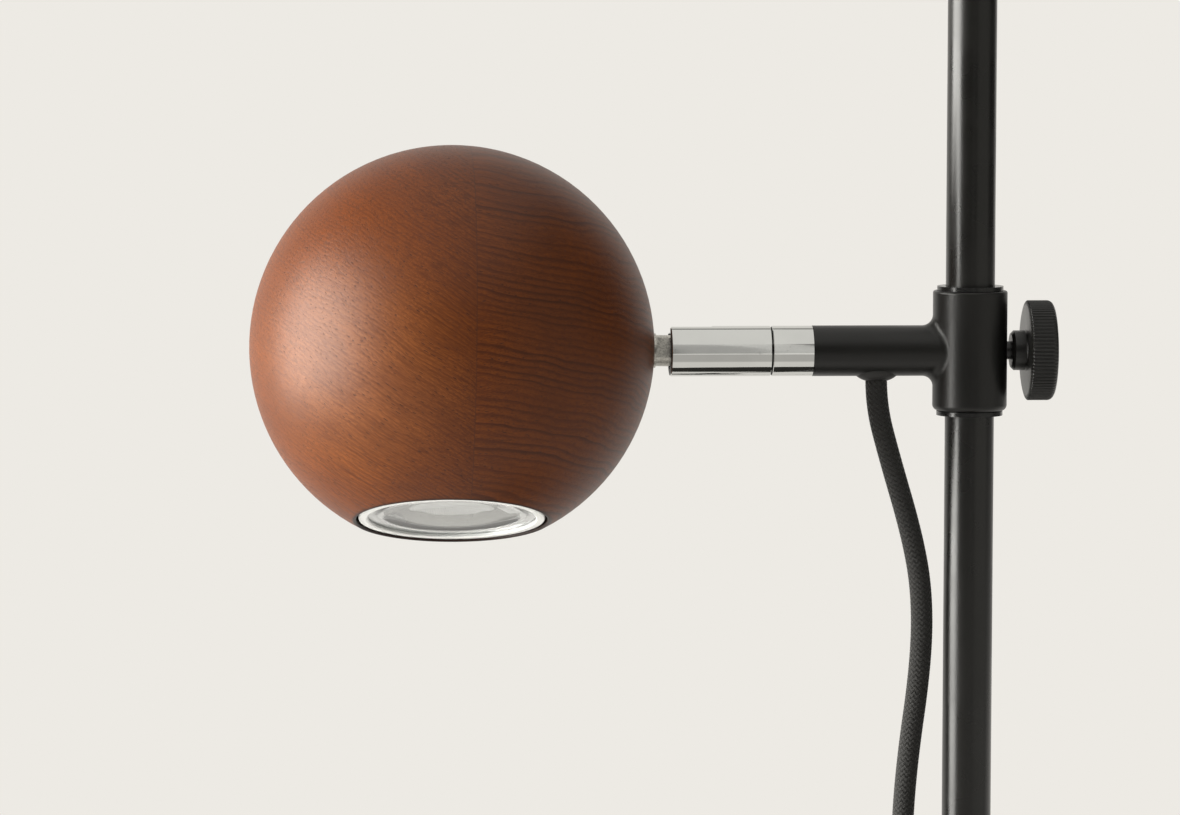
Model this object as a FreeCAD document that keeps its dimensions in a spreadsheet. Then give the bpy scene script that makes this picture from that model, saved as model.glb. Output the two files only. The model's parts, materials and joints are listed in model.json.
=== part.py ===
"""Clamped-arm table lamp with a turned wooden ball spot.

The lamp stands on the plane z = 0. The pole is the Z axis, the arm lies along -X and the thumb
screw along +X. Millimetres throughout. Four frames are used:

    lamp frame   origin under the middle of the base
    arm frame    origin where the arm's axis crosses the pole's axis
    spin frame   the arm frame rolled about X by the roll of the spot
    ball frame   origin at the ball's centre, +X towards the tilt pin, the lamp's face at -Z
"""
import FreeCAD
import Part
import Sketcher
import math
import os

from FreeCAD import Placement, Rotation, Vector

NODE_FOLDER = "parts"

# ---------------------------------------------------------------------------------------------
# Driving dimensions: alias, value in millimetres or degrees, what it is
# ---------------------------------------------------------------------------------------------
DIMENSIONS = [
    # stand
    ("base_radius", 88.0, "steel base disc"),
    ("base_thickness", 12.0, "steel base disc"),
    ("base_edge_round", 2.5, "rounding of the disc's upper rim"),
    ("pad_thickness", 1.5, "soft foot pad under the base"),
    ("pad_inset", 2.0, "pad rim inside the base rim"),
    ("pole_radius", 6.71, "outside of the steel tube"),
    ("pole_wall", 1.2, "wall of the steel tube"),
    ("pole_top", 450.0, "height of the tube's upper end"),
    ("pole_seat_depth", 3.0, "tube let into the base"),
    ("cap_dome", 2.6, "height of the end cap's dome"),
    ("cap_round", 2.1, "rounding of the end cap's rim"),
    ("cap_plug", 10.0, "length of the end cap inside the tube"),
    ("foot_collar_wall", 5.0, "foot collar outside the tube"),
    ("foot_collar_height", 7.0, "foot collar on the base"),
    ("insert_length", 22.0, "threaded insert in the tube's lower end"),
    ("bolt_radius", 3.95, "M8 fixing bolt"),
    ("bolt_reach", 18.0, "bolt inside the threaded insert"),
    ("bolt_head_radius", 6.5, "socket head of the fixing bolt"),
    ("bolt_head_height", 3.6, "low socket head of the fixing bolt"),
    ("bolt_key", 5.0, "across flats of the head's key socket"),
    ("washer_radius", 11.0, "washer under the base"),
    ("washer_thickness", 1.6, "washer under the base"),
    ("recess_spare", 0.4, "room round the washer and under the bolt head"),
    # sliding tee and its guide bushes
    ("arm_height", 300.0, "arm axis above the table"),
    ("tee_radius", 10.17, "outside of the tee's sleeve"),
    ("tee_half_height", 16.4, "half the length of the tee's sleeve"),
    ("tee_edge_top", 0.6, "rounding of the sleeve's upper rim"),
    ("tee_edge_bottom", 1.6, "rounding of the sleeve's lower rim"),
    ("tee_blend", 3.0, "blend between sleeve and arm"),
    ("bush_wall", 1.25, "wall of the guide bush"),
    ("bush_length", 10.0, "guide bush inside the sleeve"),
    ("bush_flange_radius", 9.05, "flange of the guide bush"),
    ("bush_flange", 1.15, "thickness of the bush's flange"),
    ("slide_gap", 0.05, "running clearance of round fits"),
    ("face_gap", 0.1, "clearance between faces that turn on each other"),
    ("arm_radius", 6.91, "outside of the arm"),
    ("arm_bore", 4.9, "wire way in the arm"),
    ("arm_end", 43.3, "arm axis from the pole to the arm's end"),
    ("arm_bore_start", 14.0, "closed end of the wire way, from the pole's axis"),
    # cord gland
    ("gland_reach", 25.7, "gland axis from the pole's axis"),
    ("gland_dome_length", 12.6, "gland's dome along the arm"),
    ("gland_dome_width", 9.2, "gland's dome across the arm"),
    ("gland_drop", 1.7, "dome below the arm"),
    ("gland_shank", 3.9, "shank of the gland in the arm's wall"),
    ("cord_radius", 3.0, "textile covered cord"),
    ("gland_socket", 1.4, "depth of the gland's mouth around the cord"),
    # swivel
    ("chrome_radius", 6.88, "outside of the chromed swivel"),
    ("collar_length", 11.2, "swivel collar on the arm"),
    ("collar_spigot", 9.0, "collar's spigot inside the arm"),
    ("swivel_gap", 0.4, "dark seam between collar and barrel"),
    ("barrel_length", 27.4, "swivel barrel"),
    ("barrel_floor", 3.0, "end wall that the spindle carries"),
    ("barrel_bore", 5.3, "cavity for the spindle's nut"),
    ("barrel_cavity", 12.0, "length of that cavity"),
    ("edge_break", 0.3, "broken edges of the swivel"),
    ("spindle_radius", 3.2, "hollow spindle"),
    ("spindle_bore", 1.9, "wire way in the spindle"),
    ("spindle_grip", 8.0, "spindle inside the collar"),
    ("spring_washer", 0.9, "spring washer on the spindle"),
    ("spindle_nut", 3.0, "nut on the spindle"),
    ("spindle_nut_flats", 8.0, "across flats of that nut"),
    ("slot_width", 6.7, "slot for the knuckle"),
    ("slot_depth", 11.6, "slot from the barrel's end"),
    ("slot_floor", 4.45, "slot floor below the arm's axis"),
    ("pin_inset", 7.0, "tilt pin from the barrel's end"),
    ("pin_radius", 1.5, "tilt pin"),
    ("pin_near_end", 5.5, "blind end of the pin from the axis"),
    ("pin_far_end", 6.3, "driven end of the pin from the axis"),
    ("spot_roll", 18.3, "rest roll of the spot about the arm, degrees"),
    ("spot_tilt", 1.0, "rest tilt of the spot, degrees"),
    # thumb screw
    ("screw_radius", 2.5, "M5 clamp screw"),
    ("screw_hub_radius", 5.45, "hub of the knob"),
    ("screw_hub_start", 11.2, "hub's inner end from the pole's axis"),
    ("screw_hub_chamfer", 0.8, "chamfer of the hub"),
    ("knob_start", 15.3, "knob's inner face from the pole's axis"),
    ("knob_length", 7.45, "knurled head"),
    ("knob_radius", 13.66, "knurled head"),
    ("knob_chamfer", 0.7, "inner edge of the knurled head"),
    ("knob_round", 1.6, "outer edge of the knurled head"),
    ("knurl_depth", 0.4, "depth of the straight knurl"),
    ("tip_length", 1.3, "nylon tip on the clamp screw"),
    ("tip_radius", 2.4, "nylon tip on the clamp screw"),
    # ball
    ("ball_radius", 55.0, "turned wooden ball"),
    ("pin_clear", 11.3, "tilt pin to the ball's surface"),
    ("lamp_bore", 25.8, "bore for the bulb"),
    ("lamp_bore_depth", 80.0, "bore from the rim's plane"),
    ("rim_round", 0.5, "broken edge of the bore"),
    ("knuckle_radius", 4.25, "neck of the knuckle"),
    ("knuckle_flats", 6.5, "across the neck's flats"),
    ("flange_radius", 4.7, "flange against the ball"),
    ("flange_thickness", 0.6, "flange against the ball"),
    ("flange_seat", 0.25, "spot face in the ball"),
    ("stem_radius", 4.0, "threaded stem through the ball's wall"),
    ("stem_bore", 1.9, "wire way in the stem"),
    ("stem_inner_end", 17.6, "stem's end from the ball's centre"),
    ("nut_seat", 27.0, "flat for the washer, from the ball's centre"),
    ("nut_seat_radius", 8.6, "flat for the washer"),
    ("stem_washer", 1.0, "washer on the stem"),
    ("stem_nut", 2.9, "each nut on the stem"),
    ("stem_nut_flats", 12.5, "across flats of those nuts"),
    ("bracket_gauge", 1.2, "sheet of the holder bracket"),
    ("bracket_width", 15.0, "holder bracket"),
    ("bracket_drop", 8.5, "upright leg below the stem's axis"),
    ("bracket_reach", 10.5, "flat leg past the holder's axis"),
    ("holder_radius", 13.0, "ceramic lamp holder"),
    ("holder_height", 17.0, "ceramic lamp holder"),
    ("holder_face", 0.7, "holder's face above the ball's centre"),
    ("holder_screw", 1.45, "M3 screws of the holder"),
    ("holder_screw_pitch", 14.0, "between the holder's screws"),
    ("holder_screw_bite", 6.5, "screws inside the holder"),
    ("holder_screw_head", 2.75, "heads of the holder's screws"),
    ("pin_pitch", 10.0, "between the bulb's pins"),
    ("bulb_pin_radius", 2.5, "head of a bulb pin"),
    ("bulb_neck_radius", 1.5, "neck of a bulb pin"),
    ("bulb_pin_length", 6.2, "bulb pin"),
    ("kidney_depth", 8.0, "slots for the bulb's pins"),
    ("kidney_spare", 0.3, "room round a pin in its slot"),
    ("bulb_twist", 18.0, "twist that frees the bulb, degrees"),
    # bulb
    ("face_inset", 0.77, "bulb's face inside the plane of the ball's rim"),
    ("bulb_radius", 25.25, "front ring of the bulb"),
    ("ring_inner", 22.7, "opening of the front ring"),
    ("ring_height", 3.2, "front ring of the bulb"),
    ("lens_thickness", 0.8, "clear front lens"),
    ("reflector_inner", 12.2, "inner edge of the silvered cone"),
    ("reflector_gauge", 0.6, "silvered cone"),
    ("optic_depth", 3.0, "middle lens behind the bulb's face"),
    ("optic_thickness", 3.0, "middle lens"),
    ("cap_radius", 11.5, "bulb's cap"),
    ("cap_height", 14.0, "bulb's cap"),
    ("bulb_wall", 1.4, "bulb's housing"),
    # wires and things on the cord
    ("wire_radius", 0.7, "insulated core"),
    ("wire_offset", 0.8, "each core from the middle of the pair"),
    ("floor_gap", 0.1, "cord above the table"),
    ("switch_length", 64.0, "inline switch"),
    ("switch_width", 27.0, "inline switch"),
    ("switch_height", 16.4, "inline switch"),
    ("switch_split", 8.2, "height of the parting line"),
    ("switch_wall", 1.8, "walls of the switch"),
    ("switch_lead", 15.0, "straight cord at each end of the switch"),
    ("switch_screw_inset", 8.0, "switch screws from its ends"),
    ("switch_post", 4.0, "posts for the screws' heads"),
    ("switch_pillar", 3.4, "pillars for the screws' threads"),
    ("switch_hole", 1.5, "clearance holes for the screws"),
    ("switch_pilot", 1.25, "threaded holes for the screws"),
    ("switch_screw", 1.2, "shanks of the screws"),
    ("switch_screw_head", 2.6, "heads of the screws"),
    ("switch_sink", 2.9, "recesses for those heads"),
    ("switch_x", -42.0, "middle of the switch"),
    ("switch_y", 205.0, "middle of the switch"),
    ("rocker_length", 21.0, "rocker"),
    ("rocker_width", 11.0, "rocker"),
    ("rocker_tilt", 8.0, "rocker either side of level, degrees"),
    ("rocker_pivot_drop", 3.2, "rocker's axis below the switch's top"),
    ("rocker_axle", 1.2, "rocker's trunnions"),
    ("rocker_axle_reach", 1.6, "each trunnion outside the rocker"),
    ("rocker_edge", 2.9, "rocker's ends above its axis"),
    ("rocker_ridge", 3.7, "rocker's ridge above its axis"),
    ("rocker_belly", 4.2, "rocker's underside below its axis"),
    ("rocker_side_gap", 0.3, "window beside the rocker"),
    ("rocker_end_gap", 0.6, "window at the rocker's ends"),
    ("rocker_lug_width", 6.0, "lugs for the trunnions"),
    ("rocker_lug_wall", 2.0, "lugs for the trunnions"),
    ("rocker_lug_drop", 2.2, "lugs below the rocker's axis"),
    ("coil_x", 46.0, "middle of the coil"),
    ("coil_y", 172.0, "middle of the coil"),
    ("coil_outer", 43.0, "outside of the coil"),
    ("coil_inner", 25.0, "inside of the coil"),
    ("coil_height", 12.5, "height of the coil"),
    ("tie_wall", 1.6, "strap round the coil"),
    ("tie_width", 12.0, "strap round the coil"),
    ("plug_x", 103.5, "front face of the plug"),
    ("plug_y", 70.0, "front face of the plug"),
    ("plug_heading", -75.0, "direction of the plug's pins, degrees from +X"),
    ("plug_length", 36.0, "plug body"),
    ("plug_width", 26.0, "plug body"),
    ("plug_height", 13.7, "plug body"),
    ("plug_shoulder", 19.8, "full-width part of the plug body"),
    ("plug_waist", 14.3, "width of the plug body's rear end"),
    ("plug_corner", 3.0, "upright corners of the plug body"),
    ("plug_edge", 2.0, "level edges of the plug body"),
    ("plug_lead", 18.0, "straight cord behind the sleeve"),
    ("plug_pin_radius", 2.0, "plug pins"),
    ("plug_pin_pitch", 18.6, "between the plug's pins"),
    ("plug_pin_length", 19.0, "plug pins"),
    ("relief_length", 24.0, "tapered sleeve behind the plug"),
    ("relief_radius", 4.6, "thick end of that sleeve"),
    ("relief_wall", 0.5, "wall of that sleeve's thin end"),
]

KNURL_COUNT = 72
KNURL_SHARE = 0.9  # of the knurl's pitch that one groove takes at the rim

doc = FreeCAD.newDocument("ball_spot_lamp")
sheet = doc.addObject("Spreadsheet::Sheet", "Sizes")
for row, (alias, amount, meaning) in enumerate(DIMENSIONS, start=1):
    sheet.set(f"A{row}", alias)
    sheet.set(f"B{row}", str(amount))
    sheet.set(f"C{row}", meaning)
    sheet.setAlias(f"B{row}", alias)
doc.recompute()


# ---------------------------------------------------------------------------------------------
# Sizes that know their number and their spreadsheet formula
# ---------------------------------------------------------------------------------------------
class Size:
    """A length or an angle: its number now, and the formula that binds it to the sheet."""

    def __init__(self, number, formula):
        self.number = float(number)
        self.formula = formula

    def __float__(self):
        return self.number

    def __add__(self, other):
        other = as_size(other)
        return Size(self.number + other.number, f"({self.formula} + {other.formula})")

    def __radd__(self, other):
        return as_size(other) + self

    def __sub__(self, other):
        other = as_size(other)
        return Size(self.number - other.number, f"({self.formula} - {other.formula})")

    def __rsub__(self, other):
        return as_size(other) - self

    def __mul__(self, other):
        other = as_size(other)
        return Size(self.number * other.number, f"({self.formula} * {other.formula})")

    def __rmul__(self, other):
        return as_size(other) * self

    def __truediv__(self, other):
        other = as_size(other)
        return Size(self.number / other.number, f"({self.formula} / {other.formula})")

    def __neg__(self):
        return Size(-self.number, f"(0 - {self.formula})")


def as_size(thing):
    """A plain number becomes a Size with itself as its formula."""
    return thing if isinstance(thing, Size) else Size(thing, repr(float(thing)))


def root(size):
    """Square root of a Size."""
    return Size(math.sqrt(size.number), f"sqrt({size.formula})")


def size(alias):
    """The Size behind one alias of the sheet."""
    return Size(sheet.get(alias), f"Sizes.{alias}")


ZERO = as_size(0)


# ---------------------------------------------------------------------------------------------
# Building helpers
# ---------------------------------------------------------------------------------------------
ALONG = {
    "Z": Rotation(),
    "X": Rotation(Vector(0, 1, 0), 90),
    "Y": Rotation(Vector(1, 0, 0), -90),
}


def bind(thing, path, amount):
    """Binds one property of an object to the sheet."""
    amount = as_size(amount)
    thing.setExpression(path, amount.formula)


def stand_at(thing, at, along="Z"):
    """Puts an object's own placement at three Sizes, its Z turned along an axis."""
    thing.Placement = Placement(Vector(*[float(c) for c in at]), ALONG[along])
    for letter, coordinate in zip("xyz", at):
        bind(thing, f"Placement.Base.{letter}", coordinate)


def cylinder(name, radius, length, at=(0, 0, 0), along="Z"):
    """A rod that starts at a point and runs along a positive axis."""
    rod = doc.addObject("Part::Cylinder", name)
    rod.Radius = float(radius)
    rod.Height = float(length)
    bind(rod, "Radius", radius)
    bind(rod, "Height", length)
    stand_at(rod, at, along)
    return rod


def box(name, spans):
    """A block given by its (low, high) spans along X, Y and Z."""
    block = doc.addObject("Part::Box", name)
    for path, (low, high) in zip(("Length", "Width", "Height"), spans):
        setattr(block, path, float(as_size(high) - low))
        bind(block, path, as_size(high) - low)
    stand_at(block, [as_size(low) for low, _ in spans])
    return block


def hexagon(name, flats, length, at=(0, 0, 0), along="Z"):
    """A hexagonal block given by its size across flats."""
    block = doc.addObject("Part::Prism", name)
    block.Polygon = 6
    across_corners = as_size(flats) / math.sqrt(3)
    block.Circumradius = float(across_corners)
    block.Height = float(length)
    bind(block, "Circumradius", across_corners)
    bind(block, "Height", length)
    stand_at(block, at, along)
    return block


def cut(name, base, *tools):
    """A base with one or more tools taken away."""
    result = doc.addObject("Part::Cut", name)
    result.Base = base
    result.Tool = tools[0] if len(tools) == 1 else fuse(name + "_tools", *tools)
    return result


def fuse(name, *pieces):
    """Several pieces made one."""
    result = doc.addObject("Part::MultiFuse", name)
    result.Shapes = list(pieces)
    return result


def group(name, *pieces):
    """Separate solids kept in one sub-part."""
    result = doc.addObject("Part::Compound", name)
    result.Links = list(pieces)
    return result


def ring(name, outer, inner, length, at=(0, 0, 0), along="Z"):
    """A plain tube or washer."""
    return cut(
        name,
        cylinder(name + "_outside", outer, length, at, along),
        cylinder(name + "_bore", inner, length, at, along),
    )


def body(name):
    """An empty PartDesign body."""
    return doc.addObject("PartDesign::Body", name)


def plane_of(owner, role):
    """One of a body's own origin planes or axes."""
    return next(f for f in owner.Origin.OriginFeatures if f.Role == role)


def sketch_on(owner, role, name):
    """An empty sketch on one of the body's own origin planes."""
    sketch = owner.newObject("Sketcher::SketchObject", name)
    sketch.AttachmentSupport = [(plane_of(owner, role), "")]
    sketch.MapMode = "FlatFace"
    return sketch


def pin_point(sketch, index, point, corner):
    """Fixes one point of a sketch to two Sizes."""
    across, up = (as_size(c) for c in corner)
    for kind, axis, amount in (("DistanceX", -2, across), ("DistanceY", -1, up)):
        if amount.formula == ZERO.formula:
            sketch.addConstraint(Sketcher.Constraint("PointOnObject", index, point, axis))
            continue
        number = sketch.addConstraint(Sketcher.Constraint(kind, index, point, float(amount)))
        sketch.setExpression(f"Constraints[{number}]", amount.formula)


def polygon(owner, role, name, corners):
    """A closed outline of straight lines, each corner bound to the sheet."""
    sketch = sketch_on(owner, role, name)
    points = [Vector(float(as_size(x)), float(as_size(y)), 0) for x, y in corners]
    count = len(points)
    for i, start in enumerate(points):
        sketch.addGeometry(Part.LineSegment(start, points[(i + 1) % count]), False)
    for i in range(count):
        sketch.addConstraint(Sketcher.Constraint("Coincident", i, 2, (i + 1) % count, 1))
    for i, corner in enumerate(corners):
        pin_point(sketch, i, 1, corner)
    return sketch


def circles(owner, role, name, rounds):
    """A sketch of circles, each (across, up, radius)."""
    sketch = sketch_on(owner, role, name)
    for i, (across, up, radius) in enumerate(rounds):
        middle = Vector(float(as_size(across)), float(as_size(up)), 0)
        sketch.addGeometry(Part.Circle(middle, Vector(0, 0, 1), float(as_size(radius))), False)
        pin_point(sketch, i, 3, (across, up))
        number = sketch.addConstraint(Sketcher.Constraint("Radius", i, float(as_size(radius))))
        sketch.setExpression(f"Constraints[{number}]", as_size(radius).formula)
    return sketch


def revolve(owner, sketch, axis, kind="Revolution"):
    """A full turn of an outline about its sketch's H_Axis or V_Axis."""
    feature = owner.newObject("PartDesign::" + kind, sketch.Name + "_turned")
    feature.Profile = sketch
    feature.ReferenceAxis = (sketch, [axis])
    feature.Angle = 360.0
    return feature


def pad(owner, sketch, length, kind="Pad", backwards=False, both_ways=False):
    """A pad or pocket of one length, or spread evenly to both sides of its sketch."""
    feature = owner.newObject("PartDesign::" + kind, sketch.Name + "_" + kind.lower())
    feature.Profile = sketch
    feature.Type = "Length"
    feature.Length = float(length)
    bind(feature, "Length", length)
    feature.Reversed = backwards
    feature.SideType = "Symmetric" if both_ways else "One side"
    return feature


def dress(owner, kind, amount, choose, name):
    """A fillet or chamfer on the edges of the body that a test picks out."""
    doc.recompute()
    tip = owner.Tip
    picked = [f"Edge{i}" for i, edge in enumerate(tip.Shape.Edges, start=1) if choose(edge)]
    if not picked:
        raise RuntimeError(f"{name}: no edge to dress")
    feature = owner.newObject("PartDesign::" + kind, name)
    feature.Base = (tip, picked)
    path = "Radius" if kind == "Fillet" else "Size"
    setattr(feature, path, float(amount))
    bind(feature, path, amount)
    return feature


def circle_at(axis, distance, radius):
    """A test for the circular edge of one radius at one distance along an axis."""
    along = "XYZ".index(axis)

    def test(edge):
        if edge.Degenerated or not isinstance(edge.Curve, Part.Circle):
            return False
        near = abs(edge.Curve.Center[along] - float(distance)) < 0.01
        return near and abs(edge.Curve.Radius - float(radius)) < 0.01

    return test


def feature_from(name, shape):
    """A sub-part whose shape is worked out here."""
    thing = doc.addObject("Part::Feature", name)
    thing.Shape = shape
    return thing


subparts = []


def finish(thing, node, frame=Placement()):
    """Names a sub-part, sets it in its frame and keeps it for export."""
    thing.Label = node
    thing.Placement = frame.multiply(thing.Placement)
    subparts.append(thing)
    return thing


def require_less(before, after, name):
    """A pocket or groove has to take something away."""
    if not after < before - 1e-6:
        raise RuntimeError(f"{name}: the pocket took nothing away")


def pocket(owner, sketch, length, backwards=False, both_ways=False):
    """A pocket that is checked to remove material."""
    doc.recompute()
    before = owner.Tip.Shape.Volume
    feature = pad(owner, sketch, length, "Pocket", backwards, both_ways)
    doc.recompute()
    require_less(before, feature.Shape.Volume, sketch.Name)
    return feature


# ---------------------------------------------------------------------------------------------
# Frames
# ---------------------------------------------------------------------------------------------
barrel_start = size("arm_end") + size("collar_length") + size("swivel_gap")
barrel_end = barrel_start + size("barrel_length")
pin_reach = barrel_end - size("pin_inset")
base_top = size("pad_thickness") + size("base_thickness")
gland_face = size("arm_radius") + size("gland_drop")
pin_to_ball = size("ball_radius") + size("pin_clear")

ARM = Placement(Vector(0, 0, float(size("arm_height"))), Rotation())
SPIN = ARM.multiply(Placement(Vector(), Rotation(Vector(1, 0, 0), -float(size("spot_roll")))))
TILT = SPIN.multiply(
    Placement(Vector(-float(pin_reach), 0, 0), Rotation(Vector(0, 1, 0), float(size("spot_tilt"))))
)
BALL = TILT.multiply(Placement(Vector(-float(pin_to_ball), 0, 0), Rotation()))


# ---------------------------------------------------------------------------------------------
# Stand: pad, base, pole and what fastens them
# ---------------------------------------------------------------------------------------------
GAP = size("slide_gap")
recess_depth = size("washer_thickness") + size("bolt_head_height") + size("recess_spare")
pole_foot = base_top - size("pole_seat_depth")
tube_bore = size("pole_radius") - size("pole_wall")


def make_foot_pad():
    pad_radius = size("base_radius") - size("pad_inset")
    finish(cylinder("foot_pad", pad_radius, size("pad_thickness")), "foot_pad")


def make_base_plate():
    """A turned disc: seat for the tube above, recess for the bolt below."""
    owner = body("base_plate")
    height = size("base_thickness")
    rim = size("base_radius")
    hole = size("bolt_radius") + size("recess_spare")
    seat = size("pole_radius") + GAP
    recess = size("washer_radius") + size("recess_spare")
    seat_floor = height - size("pole_seat_depth")
    outline = polygon(owner, "XZ_Plane", "base_outline", [
        (hole, recess_depth), (recess, recess_depth), (recess, 0), (rim, 0),
        (rim, height), (seat, height), (seat, seat_floor), (hole, seat_floor),
    ])
    revolve(owner, outline, "V_Axis")
    dress(owner, "Fillet", size("base_edge_round"), circle_at("Z", height, rim), "upper_rim")
    dress(owner, "Chamfer", size("edge_break"), circle_at("Z", 0, rim), "lower_rim")
    finish(owner, "base_plate", Placement(Vector(0, 0, float(size("pad_thickness"))), Rotation()))


def make_pole():
    finish(
        ring("pole", size("pole_radius"), tube_bore, size("pole_top") - pole_foot, (0, 0, pole_foot)),
        "pole",
    )


def make_pole_insert():
    thread = size("bolt_radius") + GAP
    length = size("insert_length")
    finish(ring("pole_insert", tube_bore - GAP, thread, length, (0, 0, pole_foot)), "pole_insert")


def make_foot_collar():
    """A turned collar that hides the joint of tube and base."""
    owner = body("foot_collar")
    inner = size("pole_radius") + GAP
    outer = size("pole_radius") + size("foot_collar_wall")
    height = size("foot_collar_height")
    outline = polygon(owner, "XZ_Plane", "foot_collar_outline", [
        (inner, 0), (outer, 0), (outer, height), (inner, height),
    ])
    revolve(owner, outline, "V_Axis")
    dress(owner, "Fillet", size("tee_edge_bottom"), circle_at("Z", height, outer), "collar_rim")
    finish(owner, "foot_collar", Placement(Vector(0, 0, float(base_top)), Rotation()))


def make_pole_cap():
    """A moulded cap pushed into the tube's upper end."""
    owner = body("pole_cap")
    plug = tube_bore - GAP
    outline = polygon(owner, "XZ_Plane", "cap_outline", [
        (0, -size("cap_plug")), (plug, -size("cap_plug")), (plug, 0), (size("pole_radius"), 0),
        (size("pole_radius"), size("cap_dome")), (0, size("cap_dome")),
    ])
    revolve(owner, outline, "V_Axis")
    rim = circle_at("Z", size("cap_dome"), size("pole_radius"))
    dress(owner, "Fillet", size("cap_round"), rim, "cap_round")
    finish(owner, "pole_cap", Placement(Vector(0, 0, float(size("pole_top"))), Rotation()))


def make_base_bolt():
    washer_bottom = size("pad_thickness") + recess_depth - size("washer_thickness")
    head_bottom = washer_bottom - size("bolt_head_height")
    head = cylinder("bolt_head", size("bolt_head_radius"), size("bolt_head_height"), (0, 0, head_bottom))
    shank_length = pole_foot + size("bolt_reach") - washer_bottom
    shank = cylinder("bolt_shank", size("bolt_radius"), shank_length, (0, 0, washer_bottom))
    key_depth = size("bolt_head_height") * 0.6
    key = hexagon("bolt_key_socket", size("bolt_key"), key_depth, (0, 0, head_bottom))
    finish(cut("base_bolt", fuse("bolt_solid", head, shank), key), "base_bolt")
    hole = size("bolt_radius") + GAP
    finish(
        ring("base_washer", size("washer_radius"), hole, size("washer_thickness"), (0, 0, washer_bottom)),
        "base_washer",
    )


# ---------------------------------------------------------------------------------------------
# Sliding tee
# ---------------------------------------------------------------------------------------------
bush_bore = size("pole_radius") + GAP
bush_outside = bush_bore + size("bush_wall")
tee_bore = bush_outside + GAP


def make_guide_bushes():
    """Two flanged bushes, one in each end of the sleeve."""
    flange_face = size("tee_half_height") + size("face_gap")
    halves = []
    for side, name in ((1, "upper_bush"), (-1, "lower_bush")):
        if side > 0:
            sleeve_start, flange_start = flange_face - size("bush_length"), flange_face
            bore_start = sleeve_start
        else:
            sleeve_start, flange_start = -flange_face, -(flange_face + size("bush_flange"))
            bore_start = flange_start
        sleeve = cylinder(name + "_sleeve", bush_outside, size("bush_length"), (0, 0, sleeve_start))
        flange = cylinder(
            name + "_flange", size("bush_flange_radius"), size("bush_flange"), (0, 0, flange_start)
        )
        bore = cylinder(
            name + "_bore", bush_bore, size("bush_length") + size("bush_flange"), (0, 0, bore_start)
        )
        halves.append(cut(name, fuse(name + "_solid", sleeve, flange), bore))
    finish(group("guide_bushes", *halves), "guide_bushes", ARM)


def make_tee_arm():
    """Sleeve and arm in one casting, blended where they meet, bored for pole, wires and screw."""
    owner = body("tee_casting")
    half = size("tee_half_height")
    sleeve = circles(owner, "XY_Plane", "sleeve_circle", [(0, 0, size("tee_radius"))])
    pad(owner, sleeve, half * 2, both_ways=True)
    doc.recompute()
    arm = circles(owner, "YZ_Plane", "arm_circle", [(0, 0, size("arm_radius"))])
    pad(owner, arm, size("arm_end"), backwards=True)
    dress(
        owner, "Fillet", size("tee_blend"),
        lambda e: not isinstance(e.Curve, (Part.Circle, Part.Line)), "tee_blend_round",
    )
    dress(owner, "Fillet", size("tee_edge_top"), circle_at("Z", half, size("tee_radius")), "tee_top_rim")
    dress(
        owner, "Fillet", size("tee_edge_bottom"), circle_at("Z", -half, size("tee_radius")),
        "tee_bottom_rim",
    )
    bore = circles(owner, "XY_Plane", "tee_bore_circle", [(0, 0, tee_bore)])
    pocket(owner, bore, half * 2 + 2, both_ways=True)
    way_start, way_end = -size("arm_bore_start"), -size("arm_end") - 1
    wire_way = polygon(owner, "XZ_Plane", "wire_way", [
        (way_start, 0), (way_end, 0), (way_end, size("arm_bore")), (way_start, size("arm_bore")),
    ])
    before = owner.Tip.Shape.Volume
    groove = revolve(owner, wire_way, "H_Axis", "Groove")
    doc.recompute()
    require_less(before, groove.Shape.Volume, "wire_way")
    gland_hole = cylinder(
        "gland_hole", size("gland_shank") + GAP, size("arm_radius") + 1,
        (-size("gland_reach"), 0, -size("arm_radius") - 1),
    )
    screw_hole = cylinder(
        "screw_hole", size("screw_radius") + GAP, size("tee_radius"), (0, 0, 0), "X"
    )
    finish(cut("tee_arm", owner, gland_hole, screw_hole), "tee_arm", ARM)


def make_cord_gland():
    """A domed nylon gland that sits astride the underside of the arm."""
    reach = -size("gland_reach")
    dome = doc.addObject("Part::Ellipsoid", "gland_dome")
    dome_height = size("gland_drop") * 2
    half_length, half_width = size("gland_dome_length") / 2, size("gland_dome_width") / 2
    for path, amount in (("Radius1", dome_height), ("Radius2", half_length), ("Radius3", half_width)):
        setattr(dome, path, float(amount))
        bind(dome, path, amount)
    dome_middle = -gland_face + dome_height
    stand_at(dome, (reach, ZERO, dome_middle))
    saddle = cylinder("gland_saddle", size("arm_radius"), half_length * 3,
                      (reach - half_length * 1.5, 0, 0), "X")
    shape = cut("gland_shell", dome, saddle)
    shank_top = -size("arm_bore") + 0.5
    shank = cylinder("gland_shank", size("gland_shank"), size("arm_radius") - size("arm_bore") + 1,
                     (reach, 0, -size("arm_radius") - 0.5))
    below = cylinder("gland_shank_reach", size("gland_shank"), shank_top + size("arm_radius"),
                     (reach, 0, -size("arm_radius")))
    mouth = cylinder("gland_mouth", size("cord_radius") + GAP, size("gland_socket") + 1,
                     (reach, 0, -gland_face - 1))
    finish(cut("cord_gland", fuse("gland_solid", shape, shank, below), mouth), "cord_gland", ARM)


# ---------------------------------------------------------------------------------------------
# Swivel and tilt knuckle
# ---------------------------------------------------------------------------------------------
collar_end = size("arm_end") + size("collar_length")


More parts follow.
